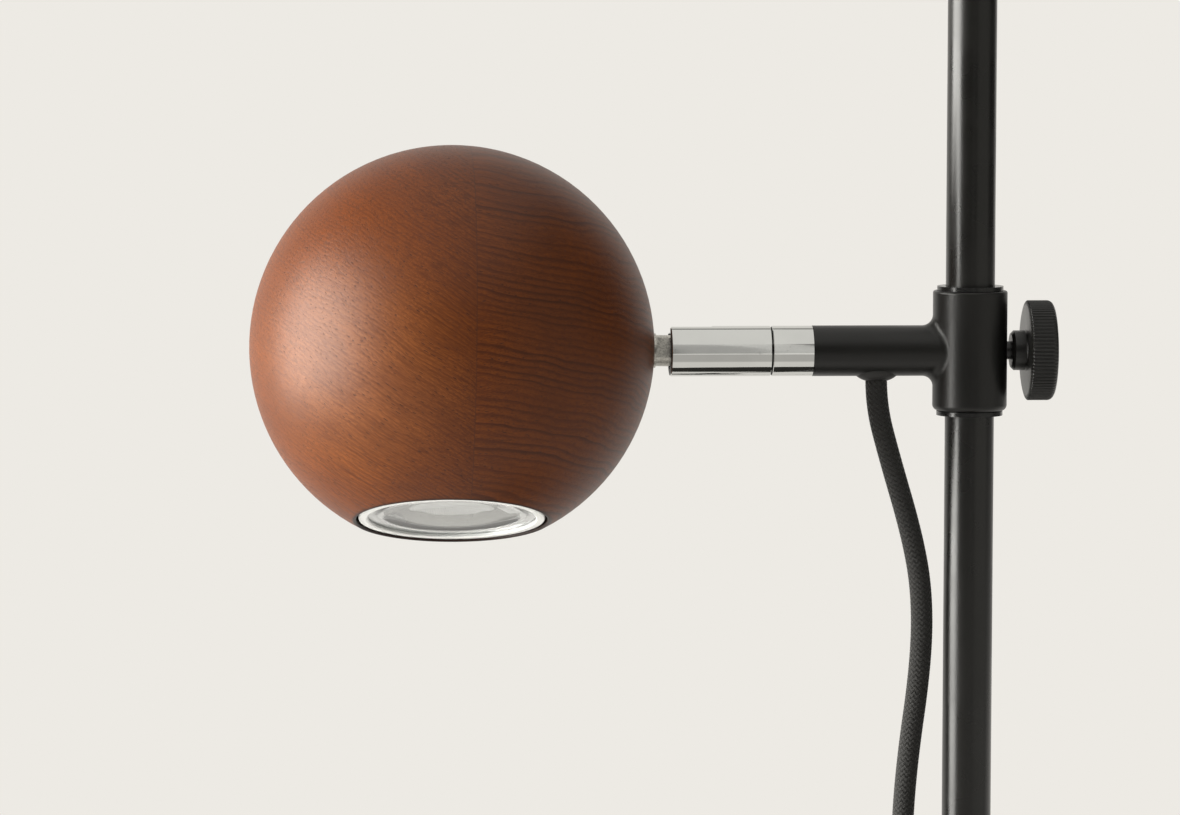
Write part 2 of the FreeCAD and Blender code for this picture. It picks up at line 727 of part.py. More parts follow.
def make_swivel_collar():
    owner = body("swivel_collar")
    start, end = -size("arm_end"), -collar_end
    inner_end = start + size("collar_spigot")
    spigot = size("arm_bore") - GAP
    grip = end + size("spindle_grip")
    through = size("spindle_radius") - size("edge_break")
    seat = size("spindle_radius") + GAP
    outline = polygon(owner, "XZ_Plane", "swivel_collar_outline", [
        (inner_end, through), (inner_end, spigot), (start, spigot), (start, size("chrome_radius")),
        (end, size("chrome_radius")), (end, seat), (grip, seat), (grip, through),
    ])
    revolve(owner, outline, "H_Axis")
    for edge_x, name in ((start, "collar_inner_edge"), (end, "collar_outer_edge")):
        choose = circle_at("X", edge_x, size("chrome_radius"))
        dress(owner, "Chamfer", size("edge_break") * 0.5, choose, name)
    finish(owner, "swivel_collar", ARM)


spindle_start = collar_end - size("spindle_grip")
washer_start = barrel_start + size("barrel_floor") + size("face_gap")
spindle_nut_start = washer_start + size("spring_washer") + size("face_gap")
spindle_end = spindle_nut_start + size("spindle_nut") + size("edge_break")


def make_swivel_spindle():
    """A hollow spindle with its nut and spring washer inside the barrel."""
    finish(
        ring("swivel_spindle", size("spindle_radius"), size("spindle_bore"),
             spindle_end - spindle_start, (-spindle_end, 0, 0), "X"),
        "swivel_spindle", ARM,
    )
    hole = size("spindle_radius") + GAP
    washer_end = washer_start + size("spring_washer")
    finish(
        ring("swivel_washer", size("barrel_bore") - size("edge_break"), hole,
             size("spring_washer"), (-washer_end, 0, 0), "X"),
        "swivel_washer", ARM,
    )
    nut_end = spindle_nut_start + size("spindle_nut")
    blank = hexagon("spindle_nut_blank", size("spindle_nut_flats"), size("spindle_nut"),
                    (-nut_end, 0, 0), "X")
    thread = cylinder("spindle_nut_thread", hole, size("spindle_nut"), (-nut_end, 0, 0), "X")
    finish(cut("swivel_nut", blank, thread), "swivel_nut", ARM)


def make_swivel_barrel():
    """The barrel: a spindle cavity at one end, the knuckle's slot at the other."""
    owner = body("barrel_turned")
    start, end = -barrel_start, -barrel_end
    floor_x = start - size("barrel_floor")
    cavity_x = floor_x - size("barrel_cavity")
    hole = size("spindle_radius") + GAP
    outline = polygon(owner, "XZ_Plane", "barrel_outline", [
        (start, hole), (start, size("chrome_radius")), (end, size("chrome_radius")),
        (end, size("spindle_bore")), (cavity_x, size("spindle_bore")),
        (cavity_x, size("barrel_bore")), (floor_x, size("barrel_bore")), (floor_x, hole),
    ])
    revolve(owner, outline, "H_Axis")
    for edge_x, amount, name in (
        (start, size("edge_break") * 0.5, "barrel_inner_edge"),
        (end, size("edge_break"), "barrel_outer_edge"),
    ):
        dress(owner, "Chamfer", amount, circle_at("X", edge_x, size("chrome_radius")), name)
    slot = polygon(owner, "XZ_Plane", "knuckle_slot", [
        (end - 1, -size("slot_floor")), (end + size("slot_depth"), -size("slot_floor")),
        (end + size("slot_depth"), size("chrome_radius") + 1), (end - 1, size("chrome_radius") + 1),
    ])
    pocket(owner, slot, size("slot_width"), both_ways=True)
    pin_hole = cylinder(
        "pin_hole", size("pin_radius") + GAP, size("pin_near_end") + size("chrome_radius") + 1,
        (-pin_reach, -size("pin_near_end"), 0), "Y",
    )
    finish(cut("swivel_barrel", owner, pin_hole), "swivel_barrel", SPIN)
    pin = cylinder(
        "tilt_pin_rod", size("pin_radius"), size("pin_near_end") + size("pin_far_end"),
        (-pin_reach, -size("pin_near_end"), 0), "Y",
    )
    finish(group("tilt_pin", pin), "tilt_pin", SPIN)


knuckle_seat = root(size("ball_radius") * size("ball_radius")
                    - size("flange_radius") * size("flange_radius")) - size("flange_seat") * 0.2


def make_knuckle():
    """Eye, flat-sided neck, flange and hollow threaded stem in one piece."""
    owner = body("knuckle_turned")
    seat = knuckle_seat
    flange_end = seat + size("flange_thickness")
    eye_x = pin_to_ball
    neck = size("knuckle_radius")
    bore_end = eye_x - neck - 1
    outline = polygon(owner, "XZ_Plane", "knuckle_outline", [
        (size("stem_inner_end"), size("stem_bore")), (size("stem_inner_end"), size("stem_radius")),
        (seat, size("stem_radius")), (seat, size("flange_radius")),
        (flange_end, size("flange_radius")), (flange_end, neck),
        (eye_x, neck), (eye_x, 0), (bore_end, 0), (bore_end, size("stem_bore")),
    ])
    revolve(owner, outline, "H_Axis")
    half = size("knuckle_flats") / 2
    eye = cylinder("knuckle_eye", neck, size("knuckle_flats"), (eye_x, -half, 0), "Y")
    solid = fuse("knuckle_solid", owner, eye)
    flats = [
        box(name, ((flange_end, eye_x + neck), span, (-neck - 1, neck + 1)))
        for name, span in (("near_flat", (-neck - 1, -half)), ("far_flat", (half, neck + 1)))
    ]
    hole = cylinder("eye_hole", size("pin_radius") + GAP, neck * 2, (eye_x, -neck, 0), "Y")
    finish(cut("knuckle", solid, *flats, hole), "knuckle", BALL)


# ---------------------------------------------------------------------------------------------
# Thumb screw
# ---------------------------------------------------------------------------------------------
tip_start = size("pole_radius") + GAP
tip_end = tip_start + size("tip_length")
stud_start = tip_end + size("face_gap")
knob_end = size("knob_start") + size("knob_length")


def make_clamp_screw():
    """Nylon tip and threaded stud."""
    tip = cylinder("nylon_tip", size("tip_radius"), size("tip_length"), (tip_start, 0, 0), "X")
    finish(group("clamp_tip", tip), "clamp_tip", ARM)
    stud_length = size("knob_start") + size("knob_length") / 2 - stud_start
    stud = cylinder("stud", size("screw_radius"), stud_length, (stud_start, 0, 0), "X")
    finish(group("clamp_stud", stud), "clamp_stud", ARM)


def make_clamp_knob():
    """A knurled head with a plain hub towards the sleeve."""
    owner = body("clamp_knob")
    hub = size("screw_hub_radius")
    rim = size("knob_radius")
    bore = size("screw_radius") + GAP
    bore_end = size("knob_start") + size("knob_length") / 2 + GAP
    outline = polygon(owner, "XZ_Plane", "knob_outline", [
        (size("screw_hub_start"), bore), (size("screw_hub_start"), hub - size("screw_hub_chamfer")),
        (size("screw_hub_start") + size("screw_hub_chamfer"), hub), (size("knob_start"), hub),
        (size("knob_start"), rim - size("knob_chamfer")),
        (size("knob_start") + size("knob_chamfer"), rim),
        (knob_end, rim), (knob_end, 0), (bore_end, 0), (bore_end, bore),
    ])
    revolve(owner, outline, "H_Axis")
    dress(owner, "Fillet", size("knob_round"), circle_at("X", knob_end, rim), "knob_outer_round")
    half_groove = rim * (math.pi / KNURL_COUNT * KNURL_SHARE)
    above = rim + size("knurl_depth") * 0.1
    groove = polygon(owner, "YZ_Plane", "knurl_groove", [
        (0, rim - size("knurl_depth")), (half_groove, above), (-half_groove, above),
    ])
    doc.recompute()
    before = owner.Tip.Shape.Volume
    first = pad(owner, groove, knob_end + 1, "Pocket", backwards=True)
    doc.recompute()
    if first.Shape.Volume >= before:
        first.Reversed = False
        doc.recompute()
    pattern = owner.newObject("PartDesign::PolarPattern", "knurl")
    pattern.Originals = [first]
    pattern.Axis = (groove, ["N_Axis"])
    pattern.Angle = 360.0
    pattern.Occurrences = KNURL_COUNT
    owner.Tip = pattern
    doc.recompute()
    require_less(first.Shape.Volume, pattern.Shape.Volume, "knurl")
    finish(owner, "clamp_knob", ARM)


# ---------------------------------------------------------------------------------------------
# Ball and lamp holder
# ---------------------------------------------------------------------------------------------
rim_plane = root(size("ball_radius") * size("ball_radius") - size("lamp_bore") * size("lamp_bore"))
holder_top = size("holder_face") + size("holder_height")
bracket_outer = size("nut_seat") - size("stem_washer") - size("stem_nut")
bracket_inner = bracket_outer - size("bracket_gauge")


def make_ball_shade():
    """A turned ball, bored from below for the bulb and from the side for the stem."""
    ball = doc.addObject("Part::Sphere", "ball_blank")
    ball.Radius = float(size("ball_radius"))
    bind(ball, "Radius", size("ball_radius"))
    bore = cylinder(
        "lamp_bore", size("lamp_bore"), size("lamp_bore_depth") + size("ball_radius") - rim_plane + 1,
        (0, 0, -size("ball_radius") - 1),
    )
    stem_hole = cylinder("stem_hole", size("stem_radius") + GAP, size("ball_radius"), (0, 0, 0), "X")
    spot_face = cylinder(
        "flange_spot_face", size("flange_radius") + GAP * 4, size("flange_thickness") * 3,
        (knuckle_seat, 0, 0), "X",
    )
    nut_seat = cylinder("nut_seat", size("nut_seat_radius"), size("nut_seat"), (0, 0, 0), "X")
    bored = cut("ball_bored", ball, bore, stem_hole, spot_face, nut_seat)
    doc.recompute()
    at_rim = circle_at("Z", -rim_plane, size("lamp_bore"))
    rounded = doc.addObject("Part::Fillet", "ball_shade")
    rounded.Base = bored
    amount = float(size("rim_round"))
    rounded.Edges = [
        (i, amount, amount) for i, e in enumerate(bored.Shape.Edges, start=1) if at_rim(e)
    ]
    finish(rounded, "ball_shade", BALL)


def make_stem_fixings():
    """Washer and two nuts that hold the ball and the holder bracket on the stem."""
    hole = size("stem_radius") + GAP
    washer = ring("stem_washer", size("nut_seat_radius") - size("recess_spare"), hole,
                  size("stem_washer"), (size("nut_seat") - size("stem_washer"), 0, 0), "X")
    finish(washer, "stem_washer", BALL)
    nuts = []
    for name, start in (("outer_nut", bracket_outer), ("inner_nut", bracket_inner - size("stem_nut"))):
        blank = hexagon(name + "_blank", size("stem_nut_flats"), size("stem_nut"), (start, 0, 0), "X")
        thread = cylinder(name + "_thread", hole, size("stem_nut"), (start, 0, 0), "X")
        nuts.append(cut(name, blank, thread))
    finish(group("stem_nuts", *nuts), "stem_nuts", BALL)


def make_holder_bracket():
    """A bent strip that hangs the lamp holder from the stem."""
    owner = body("bracket_strip")
    left, top = -size("bracket_reach"), holder_top + size("bracket_gauge")
    outline = polygon(owner, "XZ_Plane", "bracket_outline", [
        (left, holder_top), (bracket_inner, holder_top), (bracket_inner, -size("bracket_drop")),
        (bracket_outer, -size("bracket_drop")), (bracket_outer, top), (left, top),
    ])
    pad(owner, outline, size("bracket_width"), both_ways=True)

    def bend(corner_x, corner_z):
        def test(edge):
            if not isinstance(edge.Curve, Part.Line):
                return False
            middle = edge.CenterOfMass
            near = abs(middle.x - float(corner_x)) + abs(middle.z - float(corner_z)) < 0.01
            return near and edge.Length > 1
        return test

    inside = size("bracket_gauge") * 0.7
    dress(owner, "Fillet", inside, bend(bracket_inner, holder_top), "inside_bend")
    dress(owner, "Fillet", inside + size("bracket_gauge"), bend(bracket_outer, top), "outside_bend")
    stem_hole = cylinder("bracket_stem_hole", size("stem_radius") + GAP, size("bracket_gauge") * 3,
                         (bracket_inner - size("bracket_gauge"), 0, 0), "X")
    screw_holes = [
        cylinder(f"bracket_screw_hole_{i}", size("holder_screw") + GAP, size("bracket_gauge") * 3,
                 (size("holder_screw_pitch") * side / 2, 0, holder_top - size("bracket_gauge")))
        for i, side in enumerate((-1, 1))
    ]
    finish(cut("holder_bracket", owner, stem_hole, *screw_holes), "holder_bracket", BALL)


def kidney(name, side):
    """The slot that one bulb pin drops into and turns along."""
    room = size("bulb_pin_radius") + size("kidney_spare")
    middle = size("pin_pitch") / 2
    start = size("holder_face") - 1
    height = size("kidney_depth") + 1
    turn = float(size("bulb_twist"))
    outer = doc.addObject("Part::Cylinder", name + "_sector")
    bind(outer, "Radius", middle + room)
    bind(outer, "Height", height)
    bind(outer, "Angle", size("bulb_twist"))
    outer.Placement = Placement(
        Vector(0, 0, float(start)), Rotation(Vector(0, 0, 1), 180 * (side < 0) - turn)
    )
    bind(outer, "Placement.Base.z", start)
    inner = cylinder(name + "_core", middle - room, height, (0, 0, start))
    sector = cut(name + "_arc", outer, inner)
    ends = []
    for i, angle in enumerate((0, -turn)):
        end = doc.addObject("Part::Cylinder", f"{name}_end_{i}")
        bind(end, "Radius", room)
        bind(end, "Height", height)
        heading = Rotation(Vector(0, 0, 1), angle + 180 * (side < 0))
        centre = heading.multVec(Vector(float(middle), 0, 0)) + Vector(0, 0, float(start))
        end.Placement = Placement(centre, Rotation())
        ends.append(end)
    return fuse(name, sector, *ends)


def make_lamp_holder():
    """A ceramic bayonet holder with two kidney slots."""
    blank = cylinder("holder_blank", size("holder_radius"), size("holder_height"),
                     (0, 0, size("holder_face")))
    screw_holes = [
        cylinder(f"holder_screw_hole_{i}", size("holder_screw") + GAP, size("holder_screw_bite") + 2,
                 (size("holder_screw_pitch") * side / 2, 0, holder_top - size("holder_screw_bite") - 1))
        for i, side in enumerate((-1, 1))
    ]
    slots = [kidney("near_kidney", -1), kidney("far_kidney", 1)]
    finish(cut("lamp_holder", blank, *screw_holes, *slots), "lamp_holder", BALL)
    screws = []
    for i, side in enumerate((-1, 1)):
        x = size("holder_screw_pitch") * side / 2
        top = holder_top + size("bracket_gauge")
        shank = cylinder(f"holder_screw_shank_{i}", size("holder_screw"),
                         size("holder_screw_bite") + size("bracket_gauge"),
                         (x, 0, holder_top - size("holder_screw_bite")))
        head = cylinder(f"holder_screw_head_{i}", size("holder_screw_head"), size("bracket_gauge") * 1.5,
                        (x, 0, top))
        screws.append(fuse(f"holder_screw_{i}", shank, head))
    finish(group("holder_screws", *screws), "holder_screws", BALL)
    floor = size("holder_face") + size("kidney_depth")
    leaf = size("bulb_pin_radius") * 0.8
    leaves = [
        box(f"contact_{i}", ((size("pin_pitch") * side / 2 - leaf, size("pin_pitch") * side / 2 + leaf),
                             (-leaf, leaf), (floor - size("bracket_gauge"), floor)))
        for i, side in enumerate((-1, 1))
    ]
    finish(group("holder_contacts", *leaves), "holder_contacts", BALL)


# ---------------------------------------------------------------------------------------------
# Bulb
# ---------------------------------------------------------------------------------------------
face = size("face_inset") - rim_plane
ring_back = face + size("ring_height")
lens_front = face + size("lens_thickness")
lens_back = lens_front + size("lens_thickness")
lens_radius = size("ring_inner") + size("lens_thickness")
optic_front = face + size("optic_depth")
optic_back = optic_front + size("optic_thickness")
board_back = optic_back + size("lens_thickness") * 2
cap_top = size("holder_face") - size("face_gap") * 2
cap_bottom = cap_top - size("cap_height")


def turned(name, node, outline, frame=BALL):
    """A body turned about Z from one outline."""
    owner = body(name)
    revolve(owner, polygon(owner, "XZ_Plane", name + "_outline", outline), "V_Axis")
    finish(owner, node, frame)
    return owner


def make_bulb():
    """Front ring, clear lens, silvered cone, middle lens, board, housing and two pins."""
    turned("bulb_ring", "bulb_ring", [
        (size("ring_inner"), face), (size("bulb_radius"), face), (size("bulb_radius"), ring_back),
        (lens_radius + GAP, ring_back), (lens_radius + GAP, lens_front), (size("ring_inner"), lens_front),
    ])
    turned("front_lens", "bulb_lens", [
        (0, lens_front), (lens_radius, lens_front), (lens_radius, lens_back), (0, lens_back),
    ])
    gauge = size("reflector_gauge")
    turned("silver_cone", "bulb_reflector", [
        (lens_radius - gauge, lens_back), (lens_radius, lens_back),
        (lens_radius, lens_back + gauge), (size("reflector_inner") + gauge * 2, optic_back),
        (size("reflector_inner"), optic_back),
    ])
    optic_radius = size("reflector_inner") - GAP
    owner = body("middle_lens")
    outline = polygon(owner, "XZ_Plane", "middle_lens_outline", [
        (0, optic_front), (optic_radius, optic_front), (optic_radius, optic_back), (0, optic_back),
    ])
    revolve(owner, outline, "V_Axis")
    dress(owner, "Fillet", size("lens_thickness"), circle_at("Z", optic_front, optic_radius), "lens_round")
    finish(owner, "bulb_optic", BALL)
    turned("light_board", "bulb_board", [
        (0, optic_back), (optic_radius, optic_back), (optic_radius, board_back), (0, board_back),
    ])
    wall = size("bulb_wall")
    shoulder = ring_back + size("ring_height")
    turned("bulb_housing", "bulb_housing", [
        (lens_radius, ring_back), (size("bulb_radius") - GAP, ring_back),
        (size("bulb_radius") - wall, shoulder), (size("cap_radius"), cap_bottom),
        (size("cap_radius"), cap_top), (0, cap_top), (0, cap_top - wall),
        (size("cap_radius") - wall, cap_top - wall), (size("cap_radius") - wall, cap_bottom),
        (optic_radius + gauge * 3, board_back), (lens_radius, shoulder),
    ])
    neck_length = size("bulb_pin_length") / 2
    pins = []
    for i, side in enumerate((-1, 1)):
        x = size("pin_pitch") * side / 2
        neck = cylinder(f"bulb_pin_neck_{i}", size("bulb_neck_radius"), neck_length, (x, 0, cap_top))
        head = cylinder(f"bulb_pin_head_{i}", size("bulb_pin_radius"), neck_length,
                        (x, 0, cap_top + neck_length))
        pins.append(fuse(f"bulb_pin_{i}", neck, head))
    finish(group("bulb_pins", *pins), "bulb_pins", BALL)


# ---------------------------------------------------------------------------------------------
# Cord and wires
# ---------------------------------------------------------------------------------------------
def tube(name, points, radius):
    """Straight runs joined by tangent arcs, swept with a round section.

    Each arc takes 0.45 of the shorter of its two runs. The smallest arc radius is printed, and
    the swept volume has to equal the section times the length.
    """
    points = [Vector(*[float(c) for c in p]) for p in points]
    edges, start, radii = [], points[0], []
    for before, corner, after in zip(points, points[1:], points[2:]):
        arriving = (corner - before).normalize()
        leaving = (after - corner).normalize()
        turn = arriving.getAngle(leaving)
        setback = 0.45 * min((corner - before).Length, (after - corner).Length)
        radii.append(setback / math.tan(turn / 2))
        arc_start = corner - arriving * setback
        arc_end = corner + leaving * setback
        inward = (leaving - arriving).normalize()
        rise = radii[-1] * (1 / math.cos(turn / 2) - 1)
        edges.append(Part.LineSegment(start, arc_start).toShape())
        edges.append(Part.Arc(arc_start, corner + inward * rise, arc_end).toShape())
        start = arc_end
    edges.append(Part.LineSegment(start, points[-1]).toShape())
    path = Part.Wire(edges)
    heading = (points[1] - points[0]).normalize()
    section = Part.Wire(Part.Circle(points[0], heading, float(radius)).toShape())
    solid = path.makePipeShell([section], True, True)
    expected = math.pi * float(radius) ** 2 * path.Length
    if abs(solid.Volume - expected) > 0.01 * expected:
        raise RuntimeError(f"{name}: volume {solid.Volume:.1f} for {expected:.1f}")
    print(f"{name}: length {path.Length:.0f}, smallest arc radius {min(radii):.1f}")
    return solid


floor_height = size("cord_radius") + size("floor_gap")
switch_axis = size("switch_split")
plug_axis = size("plug_height") / 2 + size("floor_gap")
cord_start = size("arm_height") - gland_face + size("gland_socket")
switch_near = size("switch_y") - size("switch_length") / 2
switch_far = size("switch_y") + size("switch_length") / 2
plug_turn = Rotation(Vector(0, 0, 1), float(size("plug_heading")))
PLUG = Placement(
    Vector(float(size("plug_x")), float(size("plug_y")), float(plug_axis)), plug_turn
)
relief_rear = PLUG.multVec(Vector(-float(size("plug_length") + size("relief_length")), 0, 0))
relief_approach = PLUG.multVec(
    Vector(-float(size("plug_length") + size("relief_length") + size("plug_lead")), 0, 0)
)

DROP_JOIN = (-18.0, 0.0, 150.0)

HANGING_DROP = [
    (-size("gland_reach"), 0, cord_start),
    (-size("gland_reach"), 0, 285.2),
    (-22.1, 0, 271.5),
    (-15.4, 0, 249.0),
    (-12.6, 0, 233.0),
    (-12.8, 0, 214.0),
    (-16.6, 0, 186.0),
    (-17.9, 0, 165.0),
    DROP_JOIN,
]

DROP_TO_SWITCH = [
    DROP_JOIN,
    (-18.1, 0, 135.0),
    (-17.6, 3, 108.0),
    (-16.0, 14, 70.0),
    (-15.0, 40, 38.0),
    (-18.0, 76, 22.5),
    (-27.0, 111, 9.5),
    (-37.0, 138, 4.3),
    (size("switch_x"), switch_near - size("switch_lead"), switch_axis),
    (size("switch_x"), switch_near, switch_axis),
]

SWITCH_TO_COIL = [
    (size("switch_x"), switch_far, switch_axis),
    (size("switch_x"), switch_far + size("switch_lead"), switch_axis),
    (-37, 272, 4.5),
    (-20, 288, floor_height),
    (3, 294, floor_height),
    (27, 290, floor_height),
    (50, 278, floor_height),
    (69, 259, floor_height),
    (80, 240, floor_height),
    (86, 212, floor_height),
    (86, 188, floor_height),
]

COIL_TO_PLUG = [
    (84.5, 164, 5.2),
    tuple(relief_approach),
    tuple(relief_rear),
]


def make_cords():
    for node, route in (
        ("cord_hanging", HANGING_DROP), ("cord_to_switch", DROP_TO_SWITCH),
        ("cord_to_coil", SWITCH_TO_COIL), ("cord_to_plug", COIL_TO_PLUG),
    ):
        finish(feature_from(node, tube(node, route, size("cord_radius"))), node)
    owner = body("cord_coil")
    bottom, top = size("floor_gap"), size("floor_gap") + size("coil_height")
    outline = polygon(owner, "XZ_Plane", "coil_outline", [
        (size("coil_inner"), bottom), (size("coil_outer"), bottom),
        (size("coil_outer"), top), (size("coil_inner"), top),
    ])
    revolve(owner, outline, "V_Axis")
    middle = Vector(float(size("coil_x")), float(size("coil_y")), 0)
    finish(owner, "cord_coil", Placement(middle, Rotation()))


def make_coil_tie():
    """A strap over the coil on the side away from the cord's ends."""
    half = size("tie_width") / 2
    low, high = size("floor_gap"), size("floor_gap") + size("coil_height")
    wall = size("tie_wall")
    x_low = -size("coil_outer") - wall
    x_high = -size("coil_inner") + wall
    strap = box("tie_block", ((x_low, x_high), (-half, half), (low, high + wall)))
    room = ring("tie_room", size("coil_outer"), size("coil_inner"), size("coil_height"), (0, 0, low))
    middle = Vector(float(size("coil_x")), float(size("coil_y")), 0)
    finish(cut("coil_tie", strap, room), "coil_tie", Placement(middle, Rotation()))


def make_wires():
    """The two cores in the arm and the two in the ball."""
    wire = float(size("wire_radius"))
    gland_top = -float(size("arm_bore")) + wire
    in_arm, in_ball = [], []
    stem_end = float(size("stem_inner_end"))
    beside_holder = (stem_end + float(size("holder_radius"))) / 2
    up = float(holder_top) / 2
    for side, name in ((-1, "live"), (1, "neutral")):
        y = side * float(size("wire_offset"))
        reach = -float(size("gland_reach"))
        route = [(reach, y, gland_top), (reach, y, 0), (-float(spindle_end), y, 0)]
        in_arm.append(feature_from(name + "_arm_wire", tube(name + " wire in arm", route, wire)))
        route = [(stem_end, y, 0), (beside_holder, y, 0), (beside_holder, y, up),
                 (float(size("holder_radius") + size("face_gap")), y, up)]
        in_ball.append(feature_from(name + "_ball_wire", tube(name + " wire in ball", route, wire)))
    finish(group("arm_wires", *in_arm), "arm_wires", ARM)
    finish(group("ball_wires", *in_ball), "ball_wires", BALL)


# ---------------------------------------------------------------------------------------------
# Inline switch
# ---------------------------------------------------------------------------------------------
SWITCH = Placement(Vector(float(size("switch_x")), float(size("switch_y")), 0), Rotation())
rocker_pivot = size("switch_height") - size("rocker_pivot_drop")
screw_reach = size("switch_length") / 2 - size("switch_screw_inset")


def upright_edges(edge):
    """A test for straight edges along Z."""
    return isinstance(edge.Curve, Part.Line) and abs(edge.Curve.Direction.z) > 0.99


def edges_at_height(height):
    """A test for every edge that lies in one level plane."""
    def test(edge):
        return all(abs(v.Point.z - float(height)) < 0.01 for v in edge.Vertexes)
    return test


def rounded_block(name, half_width, half_length, low, high, corner, rim, rim_height):
    """A block with round upright corners and one rounded level rim."""
    owner = body(name)
    outline = polygon(owner, "XY_Plane", name + "_outline", [
        (-half_width, -half_length), (half_width, -half_length),
        (half_width, half_length), (-half_width, half_length),
    ])
    pad(owner, outline, as_size(high) - low)
    dress(owner, "Fillet", corner, upright_edges, name + "_corners")
    dress(owner, "Fillet", rim, edges_at_height(as_size(rim_height) - low), name + "_rim")
    stand_at(owner, (ZERO, ZERO, as_size(low)))
    return owner


def switch_half(name, low, high, outer_face):
    """One hollow half of the switch, open at the parting line."""
    half_length, half_width = size("switch_length") / 2, size("switch_width") / 2
    wall = size("switch_wall")
    corner, rim = half_width * 0.6, size("switch_wall") * 1.5
    outside = rounded_block(name + "_outside", half_width, half_length, low, high, corner, rim, outer_face)
    if float(outer_face) == float(low):
        room_low, room_high, room_face = low + wall, high + wall, low + wall
    else:
        room_low, room_high, room_face = low - wall, high - wall, high - wall
    room = rounded_block(name + "_room", half_width - wall, half_length - wall, room_low, room_high,
                         corner - wall, rim - wall, room_face)
    return cut(name, outside, room)


def make_switch():
    """Two screwed halves and a rocker that tips on trunnions."""
    low, top = size("floor_gap"), size("switch_height")
    split = size("switch_split")
    wall, seam = size("switch_wall"), size("face_gap")
    lower = switch_half("switch_lower", low, split, low)
    posts, holes, sinks, pillars, pilots, screws = [], [], [], [], [], []
    for i, side in enumerate((-1, 1)):
        y = screw_reach * side
        posts.append(cylinder(f"switch_post_{i}", size("switch_post"), split - low - seam * 2,
                              (0, y, low + seam)))
        holes.append(cylinder(f"switch_hole_{i}", size("switch_hole"), split, (0, y, 0)))
        sinks.append(cylinder(f"switch_sink_{i}", size("switch_sink"), wall, (0, y, 0)))
        pillars.append(cylinder(f"switch_pillar_{i}", size("switch_pillar"), top - split - seam * 3,
                                (0, y, split)))
        pilots.append(cylinder(f"switch_pilot_{i}", size("switch_pilot"), top - split - wall, (0, y, split)))
        head = cylinder(f"switch_screw_head_{i}", size("switch_screw_head"), wall * 0.7, (0, y, wall * 0.25))
        shank = cylinder(f"switch_screw_shank_{i}", size("switch_screw"), split, (0, y, wall * 0.25))
        screws.append(fuse(f"switch_screw_{i}", head, shank))
    finish(cut("switch_base", fuse("switch_base_solid", lower, *posts), *holes, *sinks),
           "switch_base", SWITCH)
    finish(group("switch_screws", *screws), "switch_screws", SWITCH)
    upper = switch_half("switch_upper", split, top, top)
    window_x = size("rocker_width") / 2 + size("rocker_side_gap")
    window_y = size("rocker_length") / 2 + size("rocker_end_gap")
    lug_wall, lug_half = size("rocker_lug_wall"), size("rocker_lug_width") / 2
    window = box("rocker_window", ((-window_x, window_x), (-window_y, window_y), (split, top + 1)))
    lugs = [
        box(f"rocker_lug_{i}", (span, (-lug_half, lug_half),
                                (rocker_pivot - size("rocker_lug_drop"), top - wall / 2)))
        for i, span in enumerate(((-window_x - lug_wall, -window_x), (window_x, window_x + lug_wall)))
    ]
    axle_end = size("rocker_width") / 2 + size("rocker_axle_reach") + seam * 2
    axle_hole = cylinder("axle_hole", size("rocker_axle") + GAP, axle_end * 2,
                         (-axle_end, 0, rocker_pivot), "X")
    finish(cut("switch_cover", fuse("switch_cover_solid", upper, *lugs, *pillars),
               window, axle_hole, *pilots), "switch_cover", SWITCH)
    make_rocker()


def make_rocker():
    """Two faces that slope from a ridge, on trunnions; one end is down at rest."""
    owner = body("rocker_block")
    half, edge = size("rocker_length") / 2, size("rocker_edge")
    foot, belly = half * 0.85, -size("rocker_belly")
    outline = polygon(owner, "YZ_Plane", "rocker_outline", [
        (-half, edge), (0, size("rocker_ridge")), (half, edge), (foot, belly), (-foot, belly),
    ])
    pad(owner, outline, size("rocker_width"), both_ways=True)
    reach = size("rocker_width") / 2 + size("rocker_axle_reach")
    axle = cylinder("rocker_trunnions", size("rocker_axle"), reach * 2, (-reach, 0, 0), "X")
    pivot = Placement(
        Vector(0, 0, float(rocker_pivot)),
        Rotation(Vector(1, 0, 0), -float(size("rocker_tilt"))),
    )
    finish(fuse("switch_rocker", owner, axle), "switch_rocker", SWITCH.multiply(pivot))


# ---------------------------------------------------------------------------------------------
# Plug
# ---------------------------------------------------------------------------------------------
def make_plug():
    """A flat two-pin plug with a tapered sleeve on the cord."""
    owner = body("plug_body")
    length, half = size("plug_length"), size("plug_width") / 2
    height = size("plug_height")
    shoulder, waist = -size("plug_shoulder"), size("plug_waist") / 2
    outline = polygon(owner, "XY_Plane", "plug_outline", [
        (0, -half), (0, half), (shoulder, half), (-length, waist), (-length, -waist), (shoulder, -half),
    ])
    pad(owner, outline, height, both_ways=True)
    dress(owner, "Fillet", size("plug_corner"), upright_edges, "plug_corners")
    for side, name in ((1, "plug_upper_round"), (-1, "plug_lower_round")):
        dress(owner, "Fillet", size("plug_edge"), edges_at_height(height * side / 2), name)
    finish(owner, "plug_body", PLUG)
    pins = []
    for i, side in enumerate((-1, 1)):
        start = (0, size("plug_pin_pitch") * side / 2, 0)
        pins.append(cylinder(f"plug_pin_{i}", size("plug_pin_radius"), size("plug_pin_length"), start, "X"))
    finish(group("plug_pins", *pins), "plug_pins", PLUG)
    sleeve = body("relief_sleeve")
    thin = size("cord_radius") + size("relief_wall")
    outline = polygon(sleeve, "XZ_Plane", "relief_outline", [
        (-length, 0), (-length, size("relief_radius")), (-length - size("relief_length"), thin),
        (-length - size("relief_length"), 0),
    ])
    revolve(sleeve, outline, "H_Axis")
    finish(sleeve, "plug_relief", PLUG)


